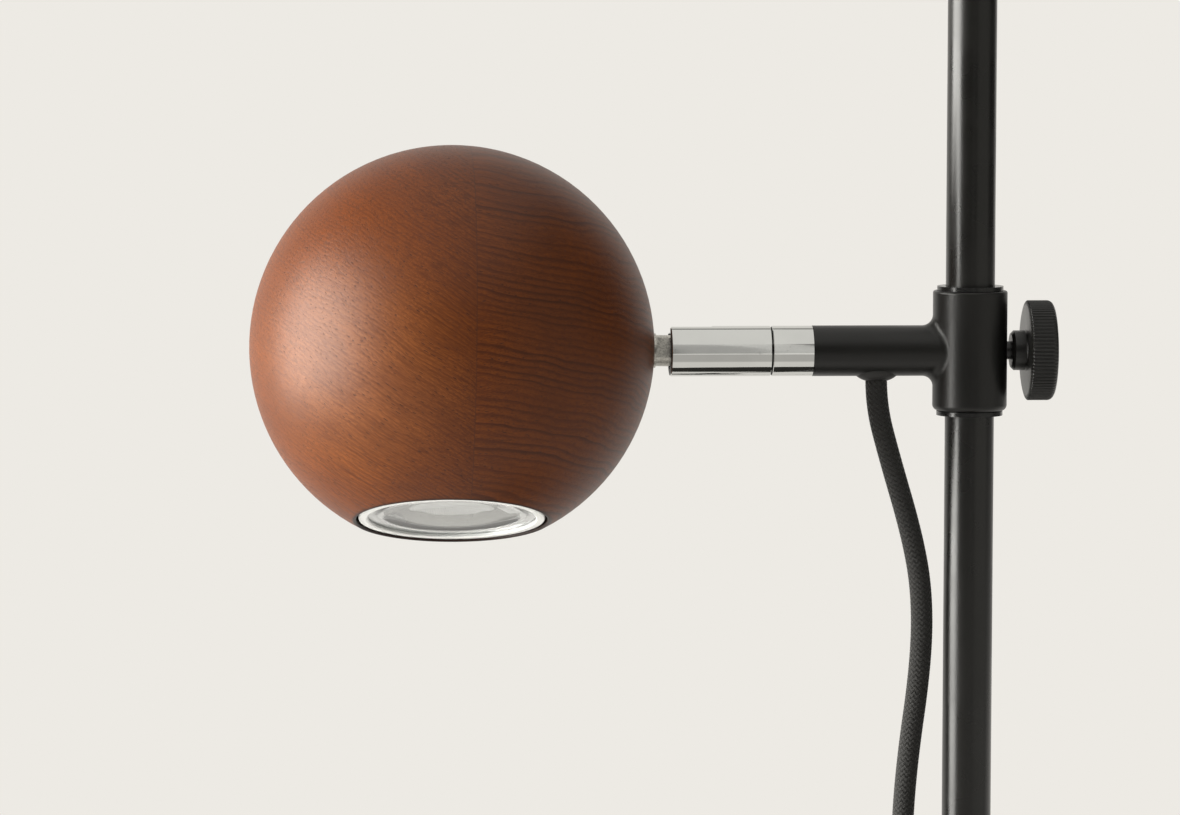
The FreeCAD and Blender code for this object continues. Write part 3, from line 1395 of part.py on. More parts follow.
# ---------------------------------------------------------------------------------------------
# The whole lamp
# ---------------------------------------------------------------------------------------------
make_foot_pad()
make_base_plate()
make_pole()
make_pole_insert()
make_foot_collar()
make_pole_cap()
make_base_bolt()
make_guide_bushes()
make_tee_arm()
make_cord_gland()
make_swivel_collar()
make_swivel_spindle()
make_swivel_barrel()
make_knuckle()
make_clamp_screw()
make_clamp_knob()
make_ball_shade()
make_stem_fixings()
make_holder_bracket()
make_lamp_holder()
make_bulb()
make_cords()
make_coil_tie()
make_wires()
make_switch()
make_plug()

doc.recompute()
failed = [o.Label for o in doc.Objects if {"Invalid", "Error"} & set(o.State)]
if failed:
    raise RuntimeError(f"objects that failed: {failed}")
for thing in subparts:
    if thing.Shape.isNull() or not thing.Shape.isValid():
        raise RuntimeError(f"{thing.Label}: null or invalid shape")

os.makedirs(NODE_FOLDER, exist_ok=True)
for thing in subparts:
    thing.Shape.exportStep(os.path.join(NODE_FOLDER, thing.Label + ".step"))
    limits = thing.Shape.BoundBox
    print(f"{thing.Label:18s} solids {len(thing.Shape.Solids)} volume {thing.Shape.Volume:10.1f} "
          f"z {limits.ZMin:7.2f} to {limits.ZMax:7.2f}")
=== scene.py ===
"""Table lamp with a turned wooden ball spot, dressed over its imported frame.

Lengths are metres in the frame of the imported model; profiles and routes are typed in millimetres
and scaled by MM. The pole is the Z axis, the arm and the ball lie along -X, the thumb screw
along +X.
"""
import json
import logging
import math
from dataclasses import dataclass
from enum import Enum
from itertools import accumulate
from typing import Callable, Optional, Sequence, Union

import bmesh
import bpy
from mathutils import Matrix, Vector

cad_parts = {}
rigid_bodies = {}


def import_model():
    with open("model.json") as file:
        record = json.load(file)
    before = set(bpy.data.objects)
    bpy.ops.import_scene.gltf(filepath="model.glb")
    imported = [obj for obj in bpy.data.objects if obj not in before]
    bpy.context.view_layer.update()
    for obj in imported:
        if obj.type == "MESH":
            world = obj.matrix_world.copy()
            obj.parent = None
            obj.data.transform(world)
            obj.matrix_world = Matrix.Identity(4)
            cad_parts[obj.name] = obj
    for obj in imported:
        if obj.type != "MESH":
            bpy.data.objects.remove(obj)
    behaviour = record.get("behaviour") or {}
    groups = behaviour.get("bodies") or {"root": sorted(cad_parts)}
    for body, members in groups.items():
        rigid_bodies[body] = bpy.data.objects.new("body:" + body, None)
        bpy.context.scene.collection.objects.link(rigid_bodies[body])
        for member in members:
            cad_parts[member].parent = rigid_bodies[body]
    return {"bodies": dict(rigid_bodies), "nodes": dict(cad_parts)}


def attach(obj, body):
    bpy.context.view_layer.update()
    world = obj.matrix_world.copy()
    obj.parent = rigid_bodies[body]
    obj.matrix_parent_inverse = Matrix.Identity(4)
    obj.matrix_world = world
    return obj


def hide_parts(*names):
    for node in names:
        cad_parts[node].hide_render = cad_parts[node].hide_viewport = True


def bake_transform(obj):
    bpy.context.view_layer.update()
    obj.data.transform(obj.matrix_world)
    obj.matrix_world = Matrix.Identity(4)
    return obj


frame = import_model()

LOG = logging.getLogger("lamp")
MM = 0.001
Point = tuple[float, float, float]
Colour = tuple[float, float, float]
Outline = list[tuple[float, float]]
Line = Sequence[Vector]
Thing = bpy.types.Object
Shape = bmesh.types.BMesh
Socket = bpy.types.NodeSocket


class Body(Enum):
    """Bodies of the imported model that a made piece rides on."""

    STAND = "stand"
    KNOB = "clamp_knob"
    BULB = "bulb"


ARM = Matrix.Translation((0, 0, 0.3))
SPIN = ARM @ Matrix.Rotation(math.radians(-18.3), 4, "X")
TILT = SPIN @ Matrix.Translation((-0.0753, 0, 0)) @ Matrix.Rotation(math.radians(1.0), 4, "Y")
BALL = TILT @ Matrix.Translation((-0.0663, 0, 0))
ALONG_X = Matrix.Rotation(math.radians(90), 4, "Y")


# Node trees
class Wire:
    """A node's output; sums with it become nodes of its graph."""

    def __init__(self, graph: "Graph", socket: Socket) -> None:
        """Wraps an output's socket in its graph."""
        self.graph, self.socket = graph, socket

    def __add__(self, other: "Input") -> "Wire":
        """A sum."""
        return self.graph.math("ADD", self, other)

    def __sub__(self, other: "Input") -> "Wire":
        """A difference."""
        return self.graph.math("SUBTRACT", self, other)

    def __rsub__(self, other: float) -> "Wire":
        """A number less this."""
        return self.graph.math("SUBTRACT", other, self)

    def __mul__(self, other: "Input") -> "Wire":
        """A product; with three numbers, of a vector's parts."""
        multiply = self.graph.vector if isinstance(other, tuple) else self.graph.math
        return multiply("MULTIPLY", self, other)

    def __truediv__(self, other: "Input") -> "Wire":
        """A quotient."""
        return self.graph.math("DIVIDE", self, other)

    def __pow__(self, power: float) -> "Wire":
        """A power."""
        return self.graph.math("POWER", self, power)

    def __abs__(self) -> "Wire":
        """The value without its sign."""
        return self.graph.math("ABSOLUTE", self)

    def length(self) -> "Wire":
        """A vector's length."""
        return self.graph.node("VectorMath", self, out="Value", operation="LENGTH")

    def parts(self) -> list["Wire"]:
        """A vector's three parts."""
        first = self.graph.node("SeparateXYZ", self)
        return [first, first.beside("Y"), first.beside("Z")]

    def beside(self, name: str) -> "Wire":
        """Another output of the same node."""
        return Wire(self.graph, self.socket.node.outputs[name])


Input = Union[float, int, bool, Sequence[float], Wire, None]


class Graph:
    """Short-hand for building one node tree."""

    def __init__(self, tree: bpy.types.NodeTree) -> None:
        """Wraps an empty shader or geometry node tree."""
        self.tree = tree

    @classmethod
    def of(cls, owner: Union[bpy.types.Material, bpy.types.World]) -> "Graph":
        """The emptied graph of a material or world.

        Args:
            owner: the material or world.

        Returns:
            Its graph.
        """
        owner.use_nodes = True
        owner.node_tree.nodes.clear()
        return cls(owner.node_tree)

    def fill(self, socket: Socket, value: Input) -> None:
        """Links or sets one input; None leaves it as it is.

        Args:
            socket: the input.
            value: a wire, a value or None.
        """
        if isinstance(value, Wire):
            self.tree.links.new(value.socket, socket)
        elif isinstance(value, tuple) and socket.type == "RGBA" and len(value) == 3:
            socket.default_value = (*value, 1)
        elif value is not None:
            socket.default_value = value

    def node(self, kind: str, *values: Input, out: Union[int, str] = 0,
             **more: object) -> Optional[Wire]:
        """Adds a node.

        Args:
            kind: the node's type name, without ShaderNode where it starts so.
            values: its inputs in order.
            out: which output is wanted.
            more: properties in small letters; inputs by name, with a capital and _ for a space.

        Returns:
            The output, or None for a node without outputs.
        """
        node = self.tree.nodes.new(kind if "Node" in kind else "ShaderNode" + kind)
        for name in filter(str.islower, more):
            setattr(node, name, more[name])
        for socket, value in zip(node.inputs, values):
            self.fill(socket, value)
        for name, value in more.items():
            if not name.islower():
                self.fill(node.inputs[name.replace("_", " ")], value)
        return Wire(self, node.outputs[out]) if node.outputs else None

    def given(self, *names: str) -> dict[str, Wire]:
        """The tree's own inputs by name."""
        entry = self.tree.nodes.new("NodeGroupInput").outputs
        return {name: Wire(self, entry[name]) for name in names}

    def math(self, operation: str, *values: Input) -> Wire:
        """The value of a Math node."""
        return self.node("Math", *values, operation=operation)

    def vector(self, operation: str, *values: Input) -> Wire:
        """The vector of a Vector Math node."""
        return self.node("VectorMath", *values, operation=operation)

    def join(self, x: Input, y: Input, z: Input) -> Wire:
        """A vector from its parts."""
        return self.node("CombineXYZ", x, y, z)

    def step(self, value: Input, low: float, high: float, to_low: float = 0.0,
             to_high: float = 1.0) -> Wire:
        """A value mapped from one range to another, eased and clamped."""
        return self.node("MapRange", value, low, high, to_low, to_high,
                         interpolation_type="SMOOTHSTEP")

    def mix(self, factor: Input, first: Input, second: Input, blend: str = "MIX") -> Wire:
        """Two colours mixed."""
        return self.node("Mix", factor, None, None, None, None, None, first, second, out=2,
                         data_type="RGBA", blend_type=blend)

    def place(self, own: Optional[Matrix] = None) -> Wire:
        """Object coordinates in a piece's own frame, in metres.

        Args:
            own: the piece's frame; None for the lamp's.

        Returns:
            The place.
        """
        at = self.node("TexCoord", out="Object")
        if own is None:
            return at
        back = own.inverted()
        return self.node("Mapping", at, tuple(back.translation), tuple(back.to_euler()), (1, 1, 1))

    def noise(self, at: Wire, scale: Input, detail: float = 2.0, rough: float = 0.5,
              warp: float = 0.0) -> Wire:
        """The value of a noise texture."""
        return self.node("TexNoise", Vector=at, Scale=scale, Detail=detail, Roughness=rough,
                         Distortion=warp)

    def bump(self, height: Wire, depth: float, under: Optional[Wire] = None) -> Wire:
        """A normal from a height that spans a depth in metres, over another normal."""
        return self.node("Bump", Strength=1.0, Distance=depth, Height=height, Normal=under)

    def surface(self, **inputs: Input) -> None:
        """A Principled surface on the material's output, from its inputs by name."""
        self.node("OutputMaterial", self.node("BsdfPrincipled", **inputs))


@dataclass(frozen=True)
class Effect:
    """A shader node group of a place and named inputs that several finishes share."""

    name: str
    inputs: dict[str, Union[float, Point]]
    outputs: tuple[str, ...]
    build: Callable[[Graph, Wire, dict[str, Wire]], tuple[Wire, ...]]

    def group(self) -> bpy.types.NodeTree:
        """The group's tree, built once.

        Returns:
            The tree.
        """
        tree = bpy.data.node_groups.get(self.name)
        if tree is not None:
            return tree
        tree = bpy.data.node_groups.new(self.name, "ShaderNodeTree")
        tree.interface.new_socket("Place", in_out="INPUT", socket_type="NodeSocketVector")
        for name, value in self.inputs.items():
            kind = "NodeSocketVector" if isinstance(value, tuple) else "NodeSocketFloat"
            tree.interface.new_socket(name, in_out="INPUT", socket_type=kind).default_value = value
        for name in self.outputs:
            tree.interface.new_socket(name, in_out="OUTPUT", socket_type="NodeSocketFloat")
        graph = Graph(tree)
        given = graph.given("Place", *self.inputs)
        graph.node("NodeGroupOutput", *self.build(graph, given["Place"], given))
        return tree

    def on(self, graph: Graph, place: Wire, **values: Input) -> dict[str, Wire]:
        """Places the group in a material.

        Args:
            graph: the material's graph.
            place: coordinates in metres.
            values: the group's other inputs by name.

        Returns:
            The group's outputs by name.
        """
        first = graph.node("Group", node_tree=self.group(), Place=place, **values)
        return {name: first.beside(name) for name in self.outputs}


# Effects that several finishes share
def build_peel(graph: Graph, place: Wire, given: dict[str, Wire]) -> tuple[Wire, ...]:
    """Fine unevenness of a sprayed or moulded skin, broad clouds over it, and specks.

    Args:
        graph: the group's graph.
        place: its place.
        given: its inputs.

    Returns:
        Its outputs.
    """
    specks = graph.node("TexVoronoi", Vector=place, Scale=900.0)
    return (graph.noise(place, given["Fineness"], 2.0, 0.55),
            graph.step(graph.noise(place, 38.0, 3.0, 0.6), 0.32, 0.68),
            graph.step(specks, 0.09, 0.02))


def build_lines(graph: Graph, place: Wire, given: dict[str, Wire]) -> tuple[Wire, ...]:
    """Fine lines left by turning, drawing or polishing, a few longer scratches, and smudges.

    Args:
        graph: the group's graph.
        place: its place.
        given: its inputs.

    Returns:
        Its outputs.
    """
    lines = graph.noise(graph.vector("MULTIPLY", place, given["Stretch"]), 1.0, 3.0, 0.62)
    scratches = graph.noise(place * (420.0, 90.0, 420.0), 1.0, 1.0, 0.4, 1.6)
    smudges = graph.noise(place, 60.0, 4.0)
    return lines, graph.step(scratches, 0.70, 0.74), graph.step(smudges, 0.4, 0.7)


def build_grain(graph: Graph, place: Wire, given: dict[str, Wire]) -> tuple[Wire, ...]:
    """Growth rings and open pores of ring-porous wood.

    The place's X runs along the grain and its Z across the rings, in millimetres.

    Args:
        graph: the group's graph.
        place: its place.
        given: its inputs.

    Returns:
        Its outputs.
    """
    broad = graph.noise(place * (0.022, 0.05, 0.05), 1.0)
    wave = graph.noise(place * (0.075, 0.10, 0.10), 1.0)
    along, deep, across = place.parts()
    across = across + (broad * given["Sway"] + wave * given["Ripple"])
    level = across / given["Spacing"]
    year = graph.math("FRACT", level)
    late = graph.step(year, 0.30, 0.80) * graph.step(year, 1.0, 0.90)
    bands = late * graph.step(graph.noise(graph.join(0.0, 0.0, level), 0.43), 0.34, 0.64, 0.22, 1.0)
    fibres = graph.noise(graph.join(along * 0.55, deep * 7.0, across * 7.0), 1.0, 3.0, 0.6)
    streaks = graph.noise(graph.join(along * 0.11, deep * 0.9, across * 1.9), 1.0, 3.0, 0.62)
    pore_at = graph.join(along * 0.50, deep * 3.4, across * 3.4)
    cells = graph.node("TexVoronoi", Vector=pore_at, Scale=1.0)
    size = graph.step(cells.beside("Color").parts()[0], 0.35, 1.0) * given["Pores"]
    early = graph.step(year, 0.5, 0.1) * 0.7 + 0.3
    flame = graph.noise(place * (0.05, 0.03, 0.09), 1.0, 3.0, 0.55)
    return (bands, fibres, graph.step(streaks, 0.44, 0.68),
            graph.step(size * early - cells, 0.0, 0.10), graph.step(flame, 0.3, 0.7))


def build_braid(graph: Graph, place: Wire, given: dict[str, Wire]) -> tuple[Wire, ...]:
    """Diamond braid: place's X counts strands round the cord and its Y strands along it.

    Args:
        graph: the group's graph.
        place: its place.
        given: its inputs.

    Returns:
        Its outputs.
    """
    round_it, along, _ = place.parts()
    turns = (round_it + along, round_it - along)
    rises = [1.0 - (abs(graph.math("FRACT", turn) - 0.5) * 2.0) ** 2.0 for turn in turns]
    cells = graph.math("FLOOR", turns[0]) + graph.math("FLOOR", turns[1])
    over = graph.step(graph.math("PINGPONG", cells, 1.0), 0.49, 0.51)
    return (graph.node("RGBToBW", graph.mix(over, *rises)),
            graph.noise(place * (9.0, 9.0, 1.0), 1.0, 2.0, 0.6),
            graph.noise(place, given["Fuzz"], 3.0, 0.7))


PEEL = Effect("sprayed_skin", {"Fineness": 2400.0}, ("Height", "Cloud", "Speck"), build_peel)
LINES = Effect("tool_lines", {"Stretch": (40.0, 4000.0, 4000.0)}, ("Lines", "Scratch", "Smudge"),
               build_lines)
GRAIN = Effect("ring_porous_grain", {"Spacing": 2.2, "Sway": 9.0, "Ripple": 1.6, "Pores": 0.5},
               ("Bands", "Fibres", "Streaks", "Pores", "Flame"), build_grain)
BRAID = Effect("diamond_braid", {"Fuzz": 3.0}, ("Height", "Yarn", "Lint"), build_braid)


# Finishes
def shaded(colour: Colour, share: float) -> Colour:
    """A colour made darker or lighter."""
    return tuple(part * share for part in colour)


@dataclass(frozen=True)
class Finish:
    """What a surface is made of; each kind lays its own nodes."""

    name: str
    colour: Colour
    roughness: float

    def material(self) -> bpy.types.Material:
        """The finish as a material, built once.

        Returns:
            The material.
        """
        material = bpy.data.materials.get("finish_" + self.name)
        if material is None:
            material = bpy.data.materials.new("finish_" + self.name)
            self.lay(Graph.of(material))
        return material

    def lay(self, graph: Graph) -> None:
        """Builds the finish's nodes in the material's empty graph."""
        raise NotImplementedError

    def spread(self, graph: Graph, mask: Wire, width: float) -> Wire:
        """A roughness that wanders round the finish's own by plus or minus a width."""
        return graph.step(mask, 0.0, 1.0, self.roughness - width, self.roughness + width)


class Mask(Enum):
    """What a skin's roughness follows."""

    CLOUDS = "Cloud"
    PEEL = "Height"


@dataclass(frozen=True)
class Skin(Finish):
    """A fine skin with clouds and specks; its kinds differ in their values."""

    fineness: float
    depth: float
    cloud: float
    wander: float
    specks: float = 0.0
    speck: Optional[Colour] = None
    specular: float = 0.5
    coat: float = 0.0
    ior: Optional[float] = None
    transmission: float = 0.0
    follows: Mask = Mask.CLOUDS
    speck_shade: float = 3

    def lay(self, graph: Graph) -> None:
        """Fine peel, faint clouds and a few specks.

        Args:
            graph: the material's empty graph.
        """
        skin = PEEL.on(graph, graph.place(), Fineness=self.fineness)
        clouded = shaded(self.colour, self.cloud)
        tone = graph.mix(skin["Cloud"], self.colour, clouded)
        if self.specks:
            tone = graph.mix(skin["Speck"] * self.specks, tone,
                             self.speck or shaded(clouded, self.speck_shade))
        graph.surface(Base_Color=tone, Specular_IOR_Level=self.specular, Coat_Weight=self.coat,
                      Roughness=self.spread(graph, skin[self.follows.value], self.wander),
                      IOR=self.ior, Transmission_Weight=self.transmission,
                      Normal=graph.bump(skin["Height"], self.depth))


@dataclass(frozen=True)
class Paint(Skin):
    """Sprayed paint or powder coat on metal."""

    fineness: float = 2400.0
    depth: float = 0.03 * MM
    cloud: float = 1.35
    wander: float = 0.04
    specks: float = 0.25


@dataclass(frozen=True)
class Plastic(Skin):
    """Moulded plastic with a fine eroded texture."""

    fineness: float = 3600.0
    depth: float = 0.05 * MM
    cloud: float = 1.3
    wander: float = 0.06
    specular: float = 0.45
    follows: Mask = Mask.PEEL


@dataclass(frozen=True)
class Metal(Finish):
    """Bare or plated metal with tool lines; within the core's radius it is painted dark: bare
    steel, and painted shade on end faces and slots.
    """

    stretch: Point = (40.0, 4000.0, 4000.0)
    depth: float = 0.01 * MM
    wander: float = 0.03
    soil: float = 0.12
    grain: float = 0.0
    core: float = 0.0
    core_colour: Colour = (0.018, 0.017, 0.016)
    core_roughness: float = 0.45
    core_blur: float = 0.04 * MM
    scratch: float = 0.08
    pit_fineness: float = 1900.0
    pit_range: tuple[float, float] = (0.56, 0.40)
    pit_shade: float = 0.62

    def lay(self, graph: Graph) -> None:
        """Tool lines, smudges, scratches, a casting's grain, and the dark core of bare steel and
        painted shade.

        Args:
            graph: the material's empty graph.
        """
        at = graph.place()
        marks = LINES.on(graph, at, Stretch=self.stretch)
        tone = graph.mix(marks["Smudge"], self.colour, shaded(self.colour, 1 - self.soil))
        rough = self.spread(graph, marks["Lines"], self.wander) + marks["Scratch"] * self.scratch
        normal = graph.bump(marks["Lines"], self.depth)
        if self.grain:
            pits = PEEL.on(graph, at, Fineness=self.pit_fineness)["Height"]
            tone = graph.mix(graph.step(pits, *self.pit_range), tone,
                             shaded(self.colour, self.pit_shade))
            normal = graph.bump(pits, self.grain, normal)
        # Within the core's radius the colour is painted dark: painted shade on end faces and slots,
        # also standing for unplated steel.
        if self.core:
            _, deep, up = graph.place(ARM).parts()
            radius = graph.math("SQRT", deep ** 2.0 + up ** 2.0)
            bare_and_shaded_core = graph.step(radius, self.core + self.core_blur, self.core - self.core_blur)
            tone = graph.mix(bare_and_shaded_core, tone, self.core_colour)
            rough = graph.math("MAXIMUM", rough, bare_and_shaded_core * self.core_roughness)
        graph.surface(Base_Color=tone, Metallic=1.0, Roughness=rough, Normal=normal)


@dataclass(frozen=True)
class GrainSide:
    """How the grain runs in one of the two blocks that the ball is glued from."""

    tilt: float
    lean: float
    spacing: float
    sway: float
    ripple: float
    pores: float
    bands: float
    streaks: float


@dataclass(frozen=True)
class StainedAsh(Finish):
    """Stained ash under a satin lacquer, in two blocks glued at a plane; in millimetres."""

    dark: Colour
    seam: float
    sides: tuple[GrainSide, GrainSide]
    # The paler spot and its colours below are painted highlight: lighter wood where the left
    # softbox's highlight falls.
    pale_spot: Point
    pale: Colour = (0.225, 0.072, 0.017)
    pale_dark: Colour = (0.095, 0.025, 0.004)
    flame: Colour = (0.080, 0.019, 0.004)
    pore: Colour = (0.025, 0.009, 0.005)
    glue: Colour = (0.05, 0.017, 0.008)
    # Painted shade: the rim of the opening and the bore wall behind it are darkened where shade
    # falls.
    lip: Colour = (0.020, 0.008, 0.005)
    pale_reach: tuple[float, float] = (46.0, 8.0)
    glue_reach: tuple[float, float] = (0.22, 0.05)
    lip_radius: tuple[float, float] = (27.4, 26.3)
    lip_height: tuple[float, float] = (-38.0, -40.0)
    seam_blur: float = 0.05
    right_shades: tuple[float, float] = (1.12, 0.95)
    fibre_share: float = 0.72
    flame_share: float = 0.34
    pore_share: float = 0.85
    glue_share: float = 0.45
    fibre_height: float = 0.45
    streak_depth: float = 0.6
    pore_roughness: float = 0.2
    relief: float = 0.05 * MM
    specular: float = 0.29

    def side(self, graph: Graph, at: Wire, grain: GrainSide) -> dict[str, Wire]:
        """The grain of one block.

        Args:
            graph: the material's graph.
            at: place in the ball's frame.
            grain: how the rings lie.

        Returns:
            The grain group's outputs.
        """
        right, deep, up = at.parts()
        cosine, sine = math.cos(math.radians(grain.tilt)), math.sin(math.radians(grain.tilt))
        across = right * sine + up * cosine + deep * grain.lean
        got = GRAIN.on(graph, graph.join(right * cosine - up * sine, deep, across),
                       Spacing=grain.spacing, Sway=grain.sway, Ripple=grain.ripple,
                       Pores=grain.pores)
        return dict(got, Bands=got["Bands"] * grain.bands, Streaks=got["Streaks"] * grain.streaks)

    def lay(self, graph: Graph) -> None:
        """Two grains divided by the glue line, a paler spot that is painted highlight where the
        left softbox's highlight falls, and painted shade darkening the rim of the opening, under
        one lacquer.

        Args:
            graph: the material's empty graph.
        """
        at = graph.place(BALL) * (1 / MM, 1 / MM, 1 / MM)
        right, deep, up = at.parts()
        mask = graph.step(right, self.seam - self.seam_blur, self.seam + self.seam_blur)
        left_grain, right_grain = (self.side(graph, at, grain) for grain in self.sides)
        got = {name: graph.node("Mix", mask, None, left_grain[name], right_grain[name])
               for name in left_grain}
        # Painted highlight: the wood is made paler round a spot where the left softbox's highlight
        # falls.
        reach = graph.vector("SUBTRACT", at, self.pale_spot).length()
        pale = graph.step(reach, *self.pale_reach) * (1.0 - mask)
        light, dark = (graph.mix(pale, graph.mix(mask, colour, shaded(colour, share)), paler)
                       for colour, share, paler in zip((self.colour, self.dark), self.right_shades,
                                                       (self.pale, self.pale_dark)))
        tone = graph.mix(graph.step(got["Fibres"], 0.28, 0.72, 0.0, self.fibre_share), light, dark)
        glue = graph.step(abs(right - self.seam), *self.glue_reach)
        # Painted shade on the rim of the opening and the bore wall.
        lip = (graph.step(graph.math("SQRT", right ** 2.0 + deep ** 2.0), *self.lip_radius)
               * graph.step(up, *self.lip_height))
        covers = (got["Bands"], got["Streaks"], got["Flame"] * self.flame_share,
                  got["Pores"] * self.pore_share, glue * self.glue_share, lip)
        for cover, colour in zip(covers, (dark, dark, self.flame, self.pore, self.glue, self.lip)):
            tone = graph.mix(cover, tone, colour)
        height = (got["Fibres"] * self.fibre_height - got["Pores"]
                  - got["Streaks"] * self.streak_depth)
        rough = graph.step(got["Pores"], 0.0, 1.0, self.roughness,
                           self.roughness + self.pore_roughness)
        graph.surface(Base_Color=tone, Roughness=rough, Specular_IOR_Level=self.specular,
                      Normal=graph.bump(height, self.relief))


@dataclass(frozen=True)
class Felt(Finish):
    """Pressed felt or foamed rubber."""

    fibre_fineness: float = 1400.0
    pit_fineness: float = 700.0
    tip_shade: float = 1.7
    depth: float = 0.25 * MM

    def lay(self, graph: Graph) -> None:
        """Short tangled fibres and small pits.

        Args:
            graph: the material's empty graph.
        """
        at = graph.place()
        wool = graph.noise(at, self.fibre_fineness, 4.0, 0.75, 1.2)
        pits = graph.node("TexVoronoi", Vector=at, Scale=self.pit_fineness)
        tone = graph.mix(graph.step(wool, 0.3, 0.7), self.colour,
                         shaded(self.colour, self.tip_shade))
        graph.surface(Base_Color=tone,
                      Roughness=graph.step(wool, 0.0, 1.0, self.roughness, 1.0),
                      Normal=graph.bump(wool * graph.step(pits, 0.0, 0.4, 0.3, 1.0), self.depth))


@dataclass(frozen=True)
class Braid(Finish):
    """Matt textile braid that follows a cord's own UV map: strands round it, strands along it."""

    light: Colour
    depth: float = 0.16 * MM
    fuzz: float = 2.2
    # Painted shade: the braid's colour is darkened in the gaps between strands.
    gap_shade: float = 0.4
    lint: float = 0.35
    specular: float = 0.5
    sheen: float = 0.22
    sheen_roughness: float = 0.45
    strand_share: float = 0.7
    yarn_share: float = 0.5

    def lay(self, graph: Graph) -> None:
        """Diamond braid of twisted yarns with lint, and painted shade in the gaps between strands.

        Args:
            graph: the material's empty graph.
        """
        weave = BRAID.on(graph, graph.node("UVMap", uv_map="strands"), Fuzz=self.fuzz)
        height, yarn = weave["Height"], weave["Yarn"]
        # Painted shade where the weave is low, between the strands.
        tone = graph.mix(graph.step(height, 0.1, 0.9), shaded(self.colour, self.gap_shade),
                         self.colour)
        tone = graph.mix(graph.step(yarn, 0.45, 0.8), tone, self.light)
        tone = graph.mix(graph.step(weave["Lint"], 0.62, 0.75, 0.0, self.lint), tone, self.light)
        graph.surface(Base_Color=tone, Roughness=graph.step(yarn, 0.2, 0.8, self.roughness, 1.0),
                      Specular_IOR_Level=self.specular, Sheen_Weight=self.sheen,
                      Sheen_Roughness=self.sheen_roughness,
                      Normal=graph.bump(height * self.strand_share + yarn * self.yarn_share,
                                        self.depth))


BLACK_PAINT = Paint("satin_black", (0.0052, 0.0049, 0.0041), 0.30, depth=0.018 * MM, specular=0.54)
CAST_PAINT = Paint("cast_black", (0.0040, 0.0037, 0.0030), 0.38, depth=0.022 * MM, specular=0.48)
POWDER = Paint("black_powder", (0.0095, 0.0091, 0.0078), 0.60, 1500.0, 0.05 * MM, specular=0.35)
KNOB_FINISH = Paint("black_anodised", (0.0080, 0.0078, 0.0072), 0.33, fineness=5200.0,
                    depth=0.02 * MM)
BUSH_FINISH = Plastic("glossy_black_nylon", (0.010, 0.010, 0.010), 0.22, depth=0.01 * MM)
GLAND_FINISH = Plastic("matt_black_nylon", (0.016, 0.0155, 0.015), 0.52, depth=0.03 * MM)
SHELL_FINISH = Plastic("black_shell", (0.014, 0.014, 0.014), 0.48)
WHITE_NYLON = Plastic("white_nylon", (0.72, 0.71, 0.67), 0.45)
# Within its core radius the chrome is painted dark: painted shade on end faces and slots, also
# standing for bare steel.
CHROME = Metal("chrome", (0.66, 0.665, 0.650), 0.05, (30.0, 2600.0, 2600.0), 0.002 * MM, 0.015,
               0.06, core=6.62 * MM)
CAST_NICKEL = Metal("cast_nickel", (0.62, 0.60, 0.55), 0.34, (200.0, 900.0, 900.0), 0.004 * MM,
                    0.05, 0.2, 0.05 * MM)
ZINC = Metal("zinc_steel", (0.58, 0.58, 0.57), 0.36, (900.0, 900.0, 900.0), 0.01 * MM, 0.08, 0.25)
BRASS = Metal("brass", (0.72, 0.50, 0.23), 0.26, (60.0, 2500.0, 2500.0), 0.006 * MM, 0.05, 0.25)
SILVERED = Metal("silvered_cone", (0.130, 0.133, 0.110), 0.22, (900.0, 900.0, 60.0), 0.004 * MM,
                 0.04, 0.05)
RING_WHITE = Paint("white_ring", (0.90, 0.92, 0.92), 0.30, fineness=3000.0, depth=0.012 * MM,
                   wander=0.03, cloud=1.03, coat=1.0)
HOUSING = Paint("pale_housing", (0.62, 0.62, 0.60), 0.45, cloud=1.05)
BOARD = Paint("white_board", (0.70, 0.71, 0.66), 0.40, cloud=1.03)
OPTIC = Plastic("milky_optic", (0.92, 0.935, 0.93), 0.14, fineness=2600.0, depth=0.01 * MM)
CLEAR = Skin("clear_lens", (0.985, 0.99, 0.985), 0.012, 500.0, 0.004 * MM, 0.985, 0.01, ior=1.45,
             transmission=1.0)
CERAMIC = Skin("white_glaze", (0.76, 0.75, 0.70), 0.14, 420.0, 0.02 * MM, 0.93, 0.03, 0.4,
               (0.3, 0.27, 0.22))
PAD_FINISH = Felt("foot_felt", (0.020, 0.019, 0.018), 0.85)
STRAP_FINISH = Felt("strap_fleece", (0.013, 0.013, 0.014), 0.80)
WIRE_FINISH = Plastic("wire_sleeve", (0.40, 0.36, 0.30), 0.38)
CORD_FINISH = Braid("black_braid", (0.0120, 0.0116, 0.0108), 0.62, (0.034, 0.032, 0.029))
# The last point is the centre of the painted highlight, a paler spot on the left block.
ASH = StainedAsh("stained_ash", (0.192, 0.046, 0.0042), 0.42, (0.048, 0.0108, 0.0018), 3.8, (
    GrainSide(33.0, -0.30, 1.16, 4.5, 1.0, 0.52, 0.50, 0.60),
    GrainSide(7.0, -0.15, 1.95, 5.5, 1.9, 0.42, 0.80, 0.42),
), (-31.0, -43.0, -17.0))


# Meshes
def link(name: str, data: bpy.types.ID) -> Thing:
    """A new object in the scene.

    Args:
        name: the object's name.
        data: what it shows.

    Returns:
        The object.
    """
    thing = bpy.data.objects.new(name, data)
    bpy.context.scene.collection.objects.link(thing)
    return thing


